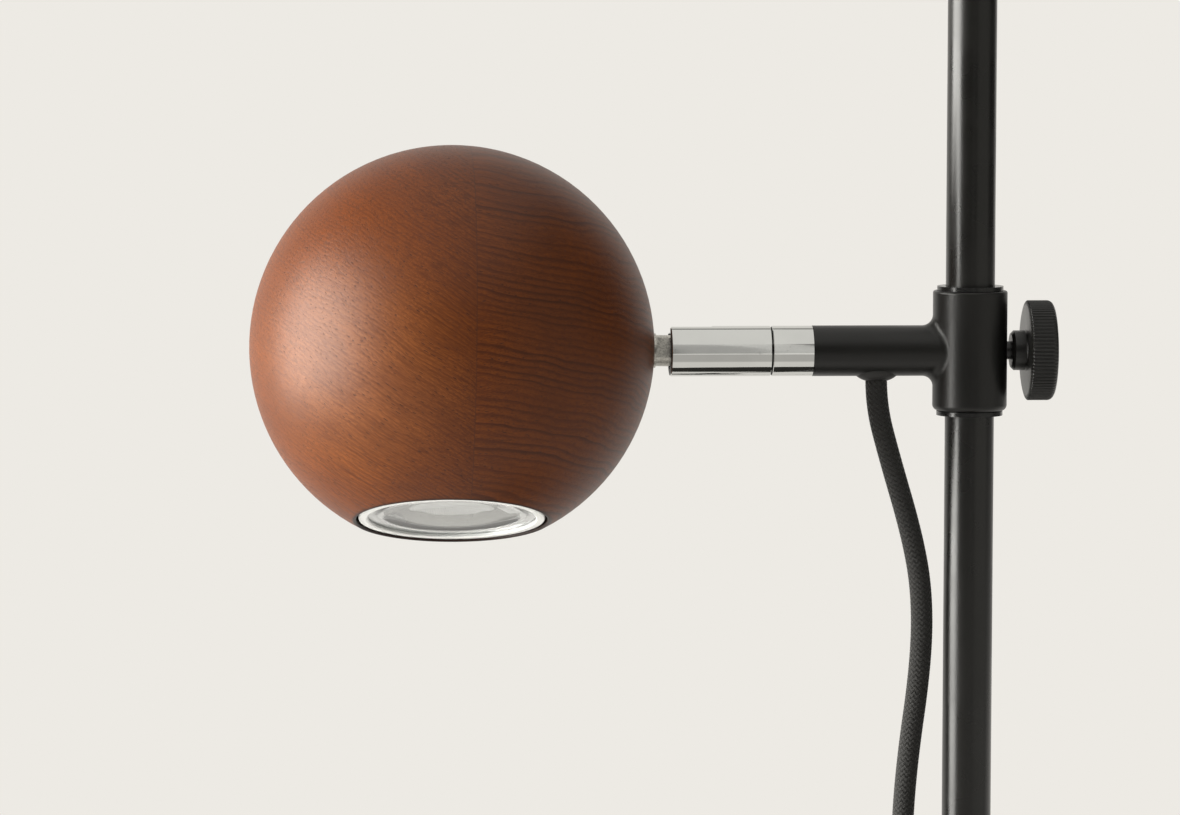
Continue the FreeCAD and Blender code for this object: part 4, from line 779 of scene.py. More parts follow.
def as_object(name: str, shape: Shape, material: bpy.types.Material,
              sharp: Optional[float] = 40.0) -> Thing:
    """Turns a bmesh into an object.

    Args:
        name: the object's name.
        shape: the bmesh, which is freed.
        material: its one material.
        sharp: edges sharper than this many degrees stay sharp; None keeps all faces as they are.

    Returns:
        The object.
    """
    if sharp is not None:
        bmesh.ops.recalc_face_normals(shape, faces=shape.faces[:])
        for face in shape.faces:
            face.smooth = True
        for edge in shape.edges:
            angle = edge.calc_face_angle(0.0)
            edge.smooth = len(edge.link_faces) == 2 and angle < math.radians(sharp)
    data = bpy.data.meshes.new(name)
    shape.to_mesh(data)
    shape.free()
    data.materials.append(material)
    return link(name, data)


def fillet(outline: Outline, radii: dict[int, float], steps: int = 6) -> Outline:
    """Rounds chosen corners of an outline.

    Args:
        outline: the corners.
        radii: radius by the corner's index.
        steps: points on each arc.

    Returns:
        The outline with arcs in it.
    """
    rounded: Outline = []
    for i, corner in enumerate(outline):
        if i not in radii:
            rounded.append(corner)
            continue
        here = Vector(corner)
        back = (Vector(outline[i - 1]) - here).normalized()
        on = (Vector(outline[(i + 1) % len(outline)]) - here).normalized()
        half = back.angle(on) / 2
        reach = radii[i] / math.tan(half)
        middle = here + (back + on).normalized() * radii[i] / math.sin(half)
        first, last = here + back * reach - middle, here + on * reach - middle
        sweep = first.angle_signed(last)
        turns = (Matrix.Rotation(-sweep * k / steps, 2) for k in range(steps + 1))
        rounded += [tuple(middle + turn @ first) for turn in turns]
    return rounded


def lathe(outline: Outline, steps: int, closed: bool = True) -> Shape:
    """Turns an outline of (radius, height) about Z; a radius of 0 becomes one point.

    Args:
        outline: the corners in order.
        steps: faces round the axis.
        closed: joins the last corner to the first.

    Returns:
        The turned shape.
    """
    shape = bmesh.new()
    rings: list[list[bmesh.types.BMVert]] = []
    for radius, height in outline:
        if radius == 0:
            rings.append([shape.verts.new((0, 0, height))])
            continue
        rings.append([shape.verts.new((radius * math.cos(a), radius * math.sin(a), height))
                      for a in (2 * math.pi * k / steps for k in range(steps))])
    pairs = list(zip(rings, rings[1:]))
    if closed:
        pairs.append((rings[-1], rings[0]))
    for low, high in pairs:
        for k in range(steps):
            n = k + 1
            corners = dict.fromkeys((low[k % len(low)], low[n % len(low)], high[n % len(high)],
                                     high[k % len(high)]))
            if len(corners) > 2:
                shape.faces.new(list(corners))
    return shape


def band(shape: Shape, low: list[bmesh.types.BMVert], high: list[bmesh.types.BMVert]) -> None:
    """Joins two rings of a shape by a band of faces."""
    for corners in zip(low, low[1:] + low[:1], high[1:] + high[:1], high):
        shape.faces.new(corners)


def dress(finish: Finish, *nodes: str) -> None:
    """Gives CAD nodes a finish through their material slots.

    Args:
        finish: the finish.
        nodes: the CAD nodes.
    """
    for node in nodes:
        thing = frame["nodes"][node]
        for i in range(len(thing.data.materials)):
            thing.data.materials[i] = finish.material()
        if not thing.data.materials:
            thing.data.materials.append(finish.material())
        LOG.info("dressed %s in %s", node, finish.name)


def settle(piece: Thing, body: Optional[Body], slot: str, *nodes: str) -> None:
    """Attaches a piece to the body it rides on and hides the CAD nodes that it replaces.

    Args:
        piece: the piece.
        body: the body it moves with; None leaves it unattached.
        slot: not used.
        nodes: CAD nodes that it replaces.
    """
    if body is not None:
        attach(piece, body.value)
    if nodes:
        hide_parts(*nodes)
    LOG.info("%s: %d faces", piece.name, len(piece.data.polygons))


# Lines and tubes
def spline(points: Sequence[Point], step: float) -> list[Vector]:
    """The evenly spaced points of a NURBS spline.

    Args:
        points: its control points, in millimetres.
        step: about how far apart the points are, in millimetres.

    Returns:
        Points in metres from the start to the end.
    """
    data = bpy.data.curves.new("route", "CURVE")
    data.dimensions = "3D"
    data.resolution_u = 48
    curve = data.splines.new("NURBS")
    curve.points.add(len(points) - 1)
    for control, point in zip(curve.points, points):
        control.co = (*(c * MM for c in point), 1)
    curve.order_u = 3
    curve.use_endpoint_u = True
    holder = link("route", data)
    mesh = bpy.data.meshes.new_from_object(holder)
    raw = [vertex.co.copy() for vertex in mesh.vertices]
    bpy.data.objects.remove(holder)
    bpy.data.meshes.remove(mesh)
    return even(raw, step * MM)


def runs(line: Line, start: float = 0.0) -> list[float]:
    """The distance run at each point of a line, on from a start."""
    return list(accumulate(((b - a).length for a, b in zip(line, line[1:])), initial=start))


def even(line: Line, step: float) -> list[Vector]:
    """Spaces a line's points evenly.

    Args:
        line: the points.
        step: about how far apart they should be.

    Returns:
        New points on the same line, both ends kept.
    """
    reach = runs(line)
    count = max(2, round(reach[-1] / step))
    result, i = [], 0
    for k in range(count + 1):
        want = reach[-1] * k / count
        while i < len(line) - 2 and reach[i + 1] < want:
            i += 1
        span = reach[i + 1] - reach[i]
        share = (want - reach[i]) / span if span else 0.0
        result.append(line[i].lerp(line[i + 1], min(1.0, share)))
    return result


def sections(line: Line, side: Vector) -> list[tuple[Vector, Vector]]:
    """Two directions across a line at each of its points, carried along without twist.

    Args:
        line: the points.
        side: a direction across the first point.

    Returns:
        A direction to the right and one upward for each point.
    """
    ahead = [b - a for a, b in zip(line, line[1:])]
    ahead.append(ahead[-1])
    result = []
    for before, after in zip([ahead[0]] + ahead, ahead):
        heading = (before + after).normalized()
        side = (side - heading * side.dot(heading)).normalized()
        result.append((side, heading.cross(side)))
    return result


def tube(line: Line, side: Vector, faces: int,
         radius: Callable[[int, int], float]) -> tuple[Shape, Vector]:
    """Sweeps a ring along a line.

    Args:
        line: the points in metres.
        side: a direction across its first point.
        faces: faces round it.
        radius: the radius by a point's index and a corner's index round it.

    Returns:
        The closed shape, and the direction across its last point.
    """
    shape = bmesh.new()
    rings = []
    across = sections(line, side)
    for i, (point, (right, up)) in enumerate(zip(line, across)):
        ring = []
        for k in range(faces):
            angle = 2 * math.pi * k / faces
            way = right * math.cos(angle) + up * math.sin(angle)
            ring.append(shape.verts.new(point + way * radius(i, k)))
        rings.append(ring)
    for low, high in zip(rings, rings[1:]):
        band(shape, low, high)
    shape.faces.new(rings[0][::-1])
    shape.faces.new(rings[-1])
    return shape, across[-1][0]


@dataclass(frozen=True)
class BraidedTube:
    """A braided cord as a mesh tube with its strands raised; sizes in millimetres."""

    radius: float = 3.0
    strands: int = 12
    pitch: float = 1.45
    relief: float = 0.17
    flat: float = 0.7
    hump: float = 0.3

    def height(self, u: float, v: float) -> float:
        """How far the braid stands up, 0 to 1, at a count of strands round and along.

        Args:
            u: strands round it.
            v: strands along it.

        Returns:
            The height.
        """
        turns = (u + v, u - v)
        rise = [1 - (2 * abs(turn - math.floor(turn) - 0.5)) ** 2 for turn in turns]
        over = sum(map(math.floor, turns)) % 2
        return rise[over] * (self.flat + self.hump * rise[1 - over])

    def mesh(self, name: str, line: Line, faces: int, side: Vector, start: float = 0.0,
             raised: bool = True) -> tuple[Thing, Vector]:
        """Builds the tube along a line.

        Args:
            name: the piece's name.
            line: the points that it follows, in metres.
            faces: faces round it.
            side: a direction across its first point.
            start: metres of cord before this piece, so that the braid runs on.
            raised: models the strands in the mesh.

        Returns:
            The piece, and the direction across its last point.
        """
        along = [run / (self.pitch * MM) for run in runs(line, start)]

        def radius(i: int, k: int) -> float:
            """The radius at a point and a corner round it."""
            height = self.height(self.strands * k / faces, along[i]) if raised else 1
            return (self.radius - self.relief * (1 - height)) * MM

        shape, last_side = tube(line, side, faces, radius)
        uv = shape.loops.layers.uv.new("strands")
        for index, face in enumerate(shape.faces):
            face.smooth = len(face.verts) == 4
            row, k = divmod(index, faces)
            if face.smooth:
                for loop, right, ahead in zip(face.loops, (0, 1, 1, 0), (0, 0, 1, 1)):
                    loop[uv].uv = self.strands * (k + right) / faces, along[row + ahead]
        return as_object(name, shape, CORD_FINISH.material(), None), last_side


# Cords
HANGING_DROP = (
    (-25.7, 0, 292.79), (-25.7, 0, 285.2), (-22.1, 0, 271.5), (-15.4, 0, 249.0), (-12.6, 0, 233.0),
    (-12.8, 0, 214.0), (-16.6, 0, 186.0), (-17.9, 0, 165.0), (-18.0, 0, 150.0),
)
DROP_TO_SWITCH = (
    (-18.0, 0, 150.0), (-18.1, 0, 135.0), (-17.6, 3, 108.0), (-16.0, 14, 70.0), (-15.0, 40, 38.0),
    (-18.0, 76, 22.5), (-27.0, 111, 9.5), (-37.0, 138, 4.3), (-42.0, 158, 8.2), (-42.0, 173, 8.2),
)
SWITCH_TO_COIL = (
    (-42.0, 237, 8.2), (-42.0, 252, 8.2), (-37.0, 272, 4.5), (-20.0, 288, 3.1), (3.0, 294, 3.1),
    (27.0, 290, 3.1), (50.0, 278, 3.1), (69.0, 259, 3.1), (80.0, 240, 3.1), (86.0, 212, 3.1),
)
COIL_TO_PLUG = ((84.2, 165.0, 9.5), (84.6, 156.0, 9.0), (83.31, 145.34, 6.95),
                (87.97, 127.96, 6.95))


@dataclass(frozen=True)
class Coil:
    """The spare cord wound in two layers, clockwise from above; sizes in millimetres."""

    middle: tuple[float, float] = (46.0, 172.0)
    per_turn: int = 16
    lower: tuple[float, ...] = (40.0, 33.9, 27.8)
    upper: tuple[float, ...] = (30.9, 37.0)
    low: float = 3.1
    high: float = 9.3
    start: float = 8.0
    climb_at: float = 0.45
    climb_share: float = 0.2
    step_at: float = 0.70
    step_share: float = 0.3

    def points(self) -> list[Point]:
        """Control points of all turns; each turn steps to the next in one third of its round.

        Returns:
            The points.
        """
        turns = [(radius, self.low) for radius in self.lower]
        turns += [(radius, self.high) for radius in self.upper]
        swell = 1 / math.cos(math.pi / self.per_turn)
        result: list[Point] = []
        for (radius, height), following in zip(turns, turns[1:] + turns[-1:]):
            for k in range(self.per_turn):
                share = k / self.per_turn
                climb = min(1.0, max(0.0, (share - self.climb_at) / self.climb_share))
                climb = climb if following[1] != height else 0.0
                step = climb or min(1.0, max(0.0, (share - self.step_at) / self.step_share))
                reach = (radius + (following[0] - radius) * step) * swell
                angle = math.radians(self.start) - 2 * math.pi * share
                result.append((self.middle[0] + reach * math.cos(angle),
                               self.middle[1] + reach * math.sin(angle),
                               height + (following[1] - height) * climb))
        return result


@dataclass(frozen=True)
class CordSet:
    """The textile cord from the arm to the plug."""

    tube: BraidedTube = BraidedTube()
    coil: Coil = Coil()
    steps: tuple[float, float, float] = (0.22, 0.5, 1.3)
    faces: tuple[int, int, int] = (96, 64, 36)

    def build(self) -> None:
        drop = spline(HANGING_DROP, self.steps[0])
        hanging, side = self.tube.mesh("cord_drop", drop, self.faces[0], Vector((0, 1, 0)))
        settle(hanging, None, "cord", "cord_hanging")
        lower = spline(DROP_TO_SWITCH, self.steps[1])
        run = runs(drop)[-1]
        to_switch, _ = self.tube.mesh("cord_to_inline_switch", lower, self.faces[1], side, run)
        settle(to_switch, None, "cord", "cord_to_switch")
        rest = spline((*SWITCH_TO_COIL, *self.coil.points(), *COIL_TO_PLUG), self.steps[2])
        run += runs(lower)[-1]
        put_away, _ = self.tube.mesh("cord_put_away", rest, self.faces[2], Vector((1, 0, 0)), run,
                                     False)
        settle(put_away, Body.STAND, "cord", "cord_to_coil", "cord_coil", "cord_to_plug")
        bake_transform(hanging)
        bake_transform(to_switch)
        self.declare(hanging, drop, "object", "hanging")
        self.declare(to_switch, lower, "fitting", "loose", "switch_base", "switch_cover",
                     "switch_rocker")
        self.declare(put_away, rest, "plug", "coiled", "plug_body", "plug_pins", "plug_relief")

    def declare(self, piece: Thing, line: Line, far_end: str, lay: str, *others: str) -> None:
        """Logs the length of one stretch of cord.

        Args:
            piece: its tube.
            line: the points that it follows.
            far_end: not used.
            lay: not used.
            others: not used.
        """
        length = runs(line)[-1]
        2 * self.tube.radius * MM
        LOG.info("%s is %.3f m long", piece.name, length)


# Studio
@dataclass(frozen=True)
class Softbox:
    """A soft lamp: its place, what it faces, its size, how bright its face is and its tint."""

    name: str
    at: Point
    facing: Point
    size: tuple[float, float]
    radiance: float
    tint: Colour = (1.0, 0.985, 0.94)

    def build(self) -> None:
        """Makes the lamp; the camera doesn't see it."""
        data = bpy.data.lights.new(self.name, "AREA")
        data.shape = "RECTANGLE"
        data.color = self.tint
        data.size, data.size_y = self.size
        data.energy = self.radiance * math.pi * self.size[0] * self.size[1]
        lamp = link(self.name, data)
        lamp.location = self.at
        aim = Vector(self.facing) - Vector(self.at)
        lamp.rotation_euler = aim.to_track_quat("-Z", "Y").to_euler()
        lamp.visible_camera = False


@dataclass(frozen=True)
class Studio:
    """Floor, backdrop, lamps and camera."""

    backdrop: Colour = (0.8469, 0.8228, 0.7758)
    ambient: float = 0.20
    paper: Colour = (0.70, 0.685, 0.655)
    lift: float = 0.30
    shadow: float = 0.45
    mirror_ahead: tuple[float, ...] = (0.56, 0.72, 0.08, 1.0)
    mirror_up: tuple[float, ...] = (0.35, 0.60, 0.0, 0.12)
    paper_fineness: float = 900.0
    paper_shade: float = 0.985
    floor_radius: float = 2.2
    floor_sides: int = 96
    floor_mirrored: float = 0.66
    floor_height: float = -0.0002
    floor_near: tuple[float, float] = (0.34, 0.24)
    floor_far: tuple[float, float] = (0.35, 0.85)
    floor_back: tuple[float, float] = (0.0, 0.2)
    shadow_side: tuple[float, float] = (0.20, -0.60)
    lifted_side: tuple[float, float] = (-0.35, 0.15)
    eye: Point = (-0.2352, -1.7090, 0.4307)
    target: Point = (-0.1040, 0.0, 0.2847)
    lens: float = 192.9
    sensor: float = 36.0
    clip: tuple[float, float] = (0.05, 20.0)
    roll: float = 0.17
    lamps: tuple[Softbox, ...] = (
        Softbox("left_softbox", (-1.05, -0.08, 0.30), (-0.12, -0.03, 0.29), (0.88, 1.12), 13.4),
        Softbox("right_panel", (0.77, -0.64, 0.50), (0.0, 0.0, 0.34), (1.25, 1.10), 0.33,
                (1.0, 0.975, 0.88)),
        Softbox("ceiling_panel", (-0.08, -0.45, 1.40), (-0.08, -0.45, 0.30), (1.30, 2.20), 0.70),
        Softbox("barrel_strip", (0.0484, -1.20, 0.56), (-0.07, 0.0, 0.30), (0.050, 1.06), 0.44),
        Softbox("collar_strip", (0.0900, -1.20, 0.56), (-0.05, 0.0, 0.30), (0.036, 1.06), 0.64),
    )

    def build(self) -> None:
        """Builds everything that isn't the lamp itself."""
        self.world()
        self.floor()
        for lamp in self.lamps:
            lamp.build()
        self.camera()
        bpy.context.scene.view_settings.view_transform = "Standard"

    def seen_by(self, graph: Graph) -> tuple[Wire, Wire]:
        """Masks for mirrored rays, and for all rays that show a thing rather than light it."""
        seen, through, mirrored = (graph.node("LightPath", out=f"Is {ray} Ray")
                                   for ray in ("Camera", "Transmission", "Glossy"))
        return mirrored, graph.math("MAXIMUM", graph.math("MAXIMUM", seen, through), mirrored)

    def shown(self, graph: Graph, mirrored: Wire, level: Wire) -> Wire:
        """The backdrop's colour, at a level where it is mirrored."""
        return graph.mix(mirrored, self.backdrop,
                         graph.mix(1.0, self.backdrop, graph.join(level, level, level), "MULTIPLY"))

    def world(self) -> None:
        """Soft light for surfaces; the plain backdrop for what is seen or mirrored."""
        world = bpy.data.worlds.new("studio")
        graph = Graph.of(world)
        mirrored, seen = self.seen_by(graph)
        _, ahead, up = graph.node("TexCoord", out="Generated").parts()
        level = graph.step(ahead, *self.mirror_ahead) + graph.step(up, *self.mirror_up)
        shown = self.shown(graph, mirrored, graph.math("MINIMUM", level, 1.0))
        plain = graph.node("Background", shown, 1.0)
        soft = graph.node("Background", self.backdrop, self.ambient)
        graph.node("OutputWorld", graph.node("MixShader", seen, soft, plain))
        bpy.context.scene.world = world

    def floor(self) -> None:
        """A round pale floor that fades into the backdrop away from the lamp."""
        shape = bmesh.new()
        bmesh.ops.create_circle(shape, cap_ends=True, cap_tris=True, segments=self.floor_sides,
                                radius=self.floor_radius)
        shape.transform(Matrix.Translation((0, 0, self.floor_height)))
        material = bpy.data.materials.new("floor_paper")
        graph = Graph.of(material)
        graph.node("OutputMaterial", self.paper_surface(graph))
        as_object("floor", shape, material, None)

    def paper_surface(self, graph: Graph) -> Wire:
        """Paper near the lamp, the backdrop far off and in mirrors, nothing from below.

        Args:
            graph: the floor material's graph.

        Returns:
            The shader.
        """
        at = graph.place()
        right, deep, _ = at.parts()
        reach = at.length()
        mirrored, seen = self.seen_by(graph)
        near = graph.math("MAXIMUM", graph.step(reach, *self.floor_near),
                          graph.step(deep, *self.floor_back))
        shown = self.shown(graph, mirrored, graph.step(near, 0.0, 1.0, self.floor_mirrored, 1.0))
        tone = graph.mix(graph.noise(at, self.paper_fineness, 3.0), self.paper,
                         shaded(self.paper, self.paper_shade))
        tone = graph.mix(graph.step(right, *self.shadow_side) * seen, tone,
                         shaded(self.paper, self.shadow))
        lift = graph.step(right, *self.lifted_side, 0.0, self.lift) * seen
        glow = graph.node("Emission", self.backdrop, lift)
        lit = graph.node("AddShader", graph.node("BsdfDiffuse", tone, 0.0), glow)
        share = graph.math("MAXIMUM", graph.step(reach, *self.floor_far) * seen, mirrored)
        paper = graph.node("MixShader", share, lit, graph.node("Emission", shown, 1.0))
        below = (graph.node("NewGeometry", out="Backfacing")
                 * graph.node("LightPath", out="Is Camera Ray"))
        return graph.node("MixShader", below, paper, graph.node("BsdfTransparent"))

    def camera(self) -> None:
        """The camera, from the front and a little above."""
        data = bpy.data.cameras.new("camera")
        data.sensor_width = self.sensor
        data.lens = self.lens
        data.clip_start, data.clip_end = self.clip
        camera = link("camera", data)
        camera.location = self.eye
        aim = (Vector(self.target) - Vector(self.eye)).to_track_quat("-Z", "Y").to_matrix()
        camera.rotation_euler = (aim @ Matrix.Rotation(math.radians(self.roll), 3, "Z")).to_euler()
        bpy.context.scene.camera = camera


# Repeated forms
class Pattern:
    """A Geometry Nodes tree with named sizes, run once on a mesh and turned into plain mesh."""

    def __init__(self, name: str, finish: Finish, **sizes: Union[float, int]) -> None:
        """Opens the tree.

        Args:
            name: the tree's name.
            finish: what its piece is made of.
            sizes: its named inputs with their values.
        """
        self.tree = bpy.data.node_groups.new(name, "GeometryNodeTree")
        self.tree.is_modifier = True
        interface = self.tree.interface
        interface.new_socket("Mesh", in_out="INPUT", socket_type="NodeSocketGeometry")
        for label, value in sizes.items():
            kind = "NodeSocketInt" if isinstance(value, int) else "NodeSocketFloat"
            interface.new_socket(label, in_out="INPUT", socket_type=kind)
        interface.new_socket("Mesh", in_out="OUTPUT", socket_type="NodeSocketGeometry")
        self.graph, self.finish, self.sizes = Graph(self.tree), finish, sizes
        self.given = self.graph.given("Mesh", *sizes)

    def close(self, mesh: Wire) -> None:
        """Ends the tree: instances made real, one finish set."""
        self.graph.node("NodeGroupOutput", self.graph.node(
            "GeometryNodeSetMaterial", self.graph.node("GeometryNodeRealizeInstances", mesh),
            Material=self.finish.material()))

    def turned(self, mesh: Wire, degrees: float, height: float = 0.0) -> Wire:
        """A mesh turned about Z and raised."""
        return self.graph.node("GeometryNodeTransform", Geometry=mesh, Translation=(0, 0, height),
                               Rotation=(0, 0, math.radians(degrees)))

    def scatter(self, points: Wire, copy: Wire, degrees: float = 0.0) -> None:
        """Ends the tree with copies at points beside the mesh that it is given.

        Args:
            points: where the copies go.
            copy: what is copied.
            degrees: how far all copies are turned together about Z.
        """
        copies = self.graph.node("GeometryNodeInstanceOnPoints", Points=points, Instance=copy)
        joined = self.graph.node("GeometryNodeJoinGeometry", self.given["Mesh"])
        self.graph.fill(joined.socket.node.inputs[0], self.turned(copies, degrees))
        self.close(joined)

    def run(self, name: str, shape: Shape, place: Matrix) -> Thing:
        """Runs the tree on a shape in millimetres.

        Args:
            name: the finished piece's name.
            shape: the shape, which is freed.
            place: the piece's frame.

        Returns:
            The plain piece in metres.
        """
        source = as_object(name + "_blank", shape, self.finish.material())
        modifier = source.modifiers.new(self.tree.name, "NODES")
        modifier.node_group = self.tree
        for item in self.tree.interface.items_tree:
            if item.item_type == "SOCKET" and item.name in self.sizes:
                modifier[item.identifier] = self.sizes[item.name]
        done = source.evaluated_get(bpy.context.evaluated_depsgraph_get())
        data = bpy.data.meshes.new_from_object(done)
        data.name = name
        data.materials.clear()
        data.materials.append(self.finish.material())
        data.transform(place @ Matrix.Scale(MM, 4))
        bpy.data.objects.remove(source)
        return link(name, data)


# Sub-assemblies
@dataclass(frozen=True)
class Stand:
    """Weighted base, pole and what fastens them."""

    def build(self) -> None:
        """Dresses the stand's nodes."""
        dress(BLACK_PAINT, "pole", "foot_collar")
        dress(POWDER, "base_plate")
        dress(SHELL_FINISH, "pole_cap")
        dress(PAD_FINISH, "foot_pad")
        dress(ZINC, "pole_insert", "base_bolt", "base_washer")


@dataclass(frozen=True)
class Carriage:
    """Guide bushes that slide on the pole."""

    def build(self) -> None:
        """Dresses the bushes."""
        dress(BUSH_FINISH, "guide_bushes")


@dataclass(frozen=True)
class Arm:
    """Tee casting, cord gland and swivel."""

    def build(self) -> None:
        """Dresses the arm's and the barrel's nodes."""
        dress(CAST_PAINT, "tee_arm")
        dress(GLAND_FINISH, "cord_gland")
        dress(CHROME, "swivel_collar", "swivel_barrel")
        dress(ZINC, "swivel_spindle", "swivel_washer", "swivel_nut", "tilt_pin")
        dress(WIRE_FINISH, "arm_wires")


@dataclass(frozen=True)
class ThumbScrew:
    """Knurled thumb screw with a nylon tip; sizes in millimetres."""

    radius: float = 13.66
    inner: float = 15.3
    outer: float = 22.75
    rim_round: float = 1.6
    hub_radius: float = 5.45
    hub_start: float = 11.2
    hub_edge: float = 0.8
    hub_fillet: float = 0.35
    rim_start: float = 0.55
    rim_short: float = 2.2
    rows: int = 8
    ribs: int = 82
    rib_faces: int = 6
    rib_depth: float = 0.50
    rib_shape: float = 1.6
    rib_start: float = 2.0
    rib_end: float = 1.2
    rim_band: float = 1.2

    def build(self) -> None:
        """Builds the knob and dresses the stud and tip."""
        dress(KNOB_FINISH, "clamp_stud")
        dress(WHITE_NYLON, "clamp_tip")
        blank = lathe(self.outline(), self.ribs * self.rib_faces, False)
        settle(self.knurl().run("thumb_knob", blank, ARM @ ALONG_X), Body.KNOB, "knob_black",
               "clamp_knob")

    def outline(self) -> Outline:
        """The knob's outline before it is knurled, from the hub to the dished face.

        Returns:
            Corners of (radius, height).
        """
        hub = [(0, self.hub_start), (self.hub_radius - self.hub_edge, self.hub_start),
               (self.hub_radius, self.hub_start + self.hub_edge),
               (self.hub_radius, self.inner - self.hub_fillet),
               (self.hub_radius + self.hub_fillet, self.inner),
               (self.radius - 1.3, self.inner), (self.radius - 0.35, self.inner + 0.25)]
        rise = self.outer - self.rim_short - self.inner
        rim = [(self.radius, self.inner + self.rim_start + rise * k / self.rows)
               for k in range(self.rows + 1)]
        turn = [(self.radius - self.rim_round + self.rim_round * math.cos(a),
                 self.outer - self.rim_round + self.rim_round * math.sin(a))
                for a in map(math.radians, (12, 30, 50, 70, 90))]
        dish = [(9.6, self.outer), (9.2, self.outer - 0.12), (8.6, self.outer - 0.45),
                (0, self.outer - 0.5)]
        return hub + rim + turn + dish

    def knurl(self) -> Pattern:
        """Straight ribs pressed into the rim.

        Returns:
            The closed pattern.
        """
        pattern = Pattern("straight_knurl", KNOB_FINISH, Ribs=self.ribs, Depth=self.rib_depth,
                          First=self.inner - 0.2, Last=self.outer - 0.5, Rim=self.radius)
        graph, given = pattern.graph, pattern.given
        x, y, z = graph.node("GeometryNodeInputPosition").parts()
        turn = graph.math("ARCTAN2", y, x) / (2 * math.pi)
        valley = abs(graph.math("FRACT", turn * given["Ribs"]) * 2.0 - 1.0)
        reach = graph.math("SQRT", x * x + y * y)
        ends = graph.math("MINIMUM", (z - given["First"]) * self.rib_start,
                          (given["Last"] - z) * self.rib_end)
        fade = graph.math("MAXIMUM", graph.math("MINIMUM", ends, 1.0), 0.0)
        mask = fade * graph.step(reach - (given["Rim"] - self.rim_band), 0.2, 0.9)
        depth = valley ** self.rib_shape * given["Depth"] * mask
        inward = graph.join(x / reach, y / reach, 0.0)
        shift = graph.node("VectorMath", inward, operation="SCALE", Scale=depth * -1.0)
        pattern.close(graph.node("GeometryNodeSetPosition", Geometry=given["Mesh"], Offset=shift))
        return pattern


@dataclass(frozen=True)
class Head:
    """Wooden ball, knuckle and lamp holder."""

    def build(self) -> None:
        """Dresses the head's nodes."""
        dress(ASH, "ball_shade")
        dress(CAST_NICKEL, "knuckle")
        dress(ZINC, "stem_washer", "stem_nuts", "holder_bracket", "holder_screws")
        dress(CERAMIC, "lamp_holder")
        dress(BRASS, "holder_contacts")
        dress(WIRE_FINISH, "ball_wires")


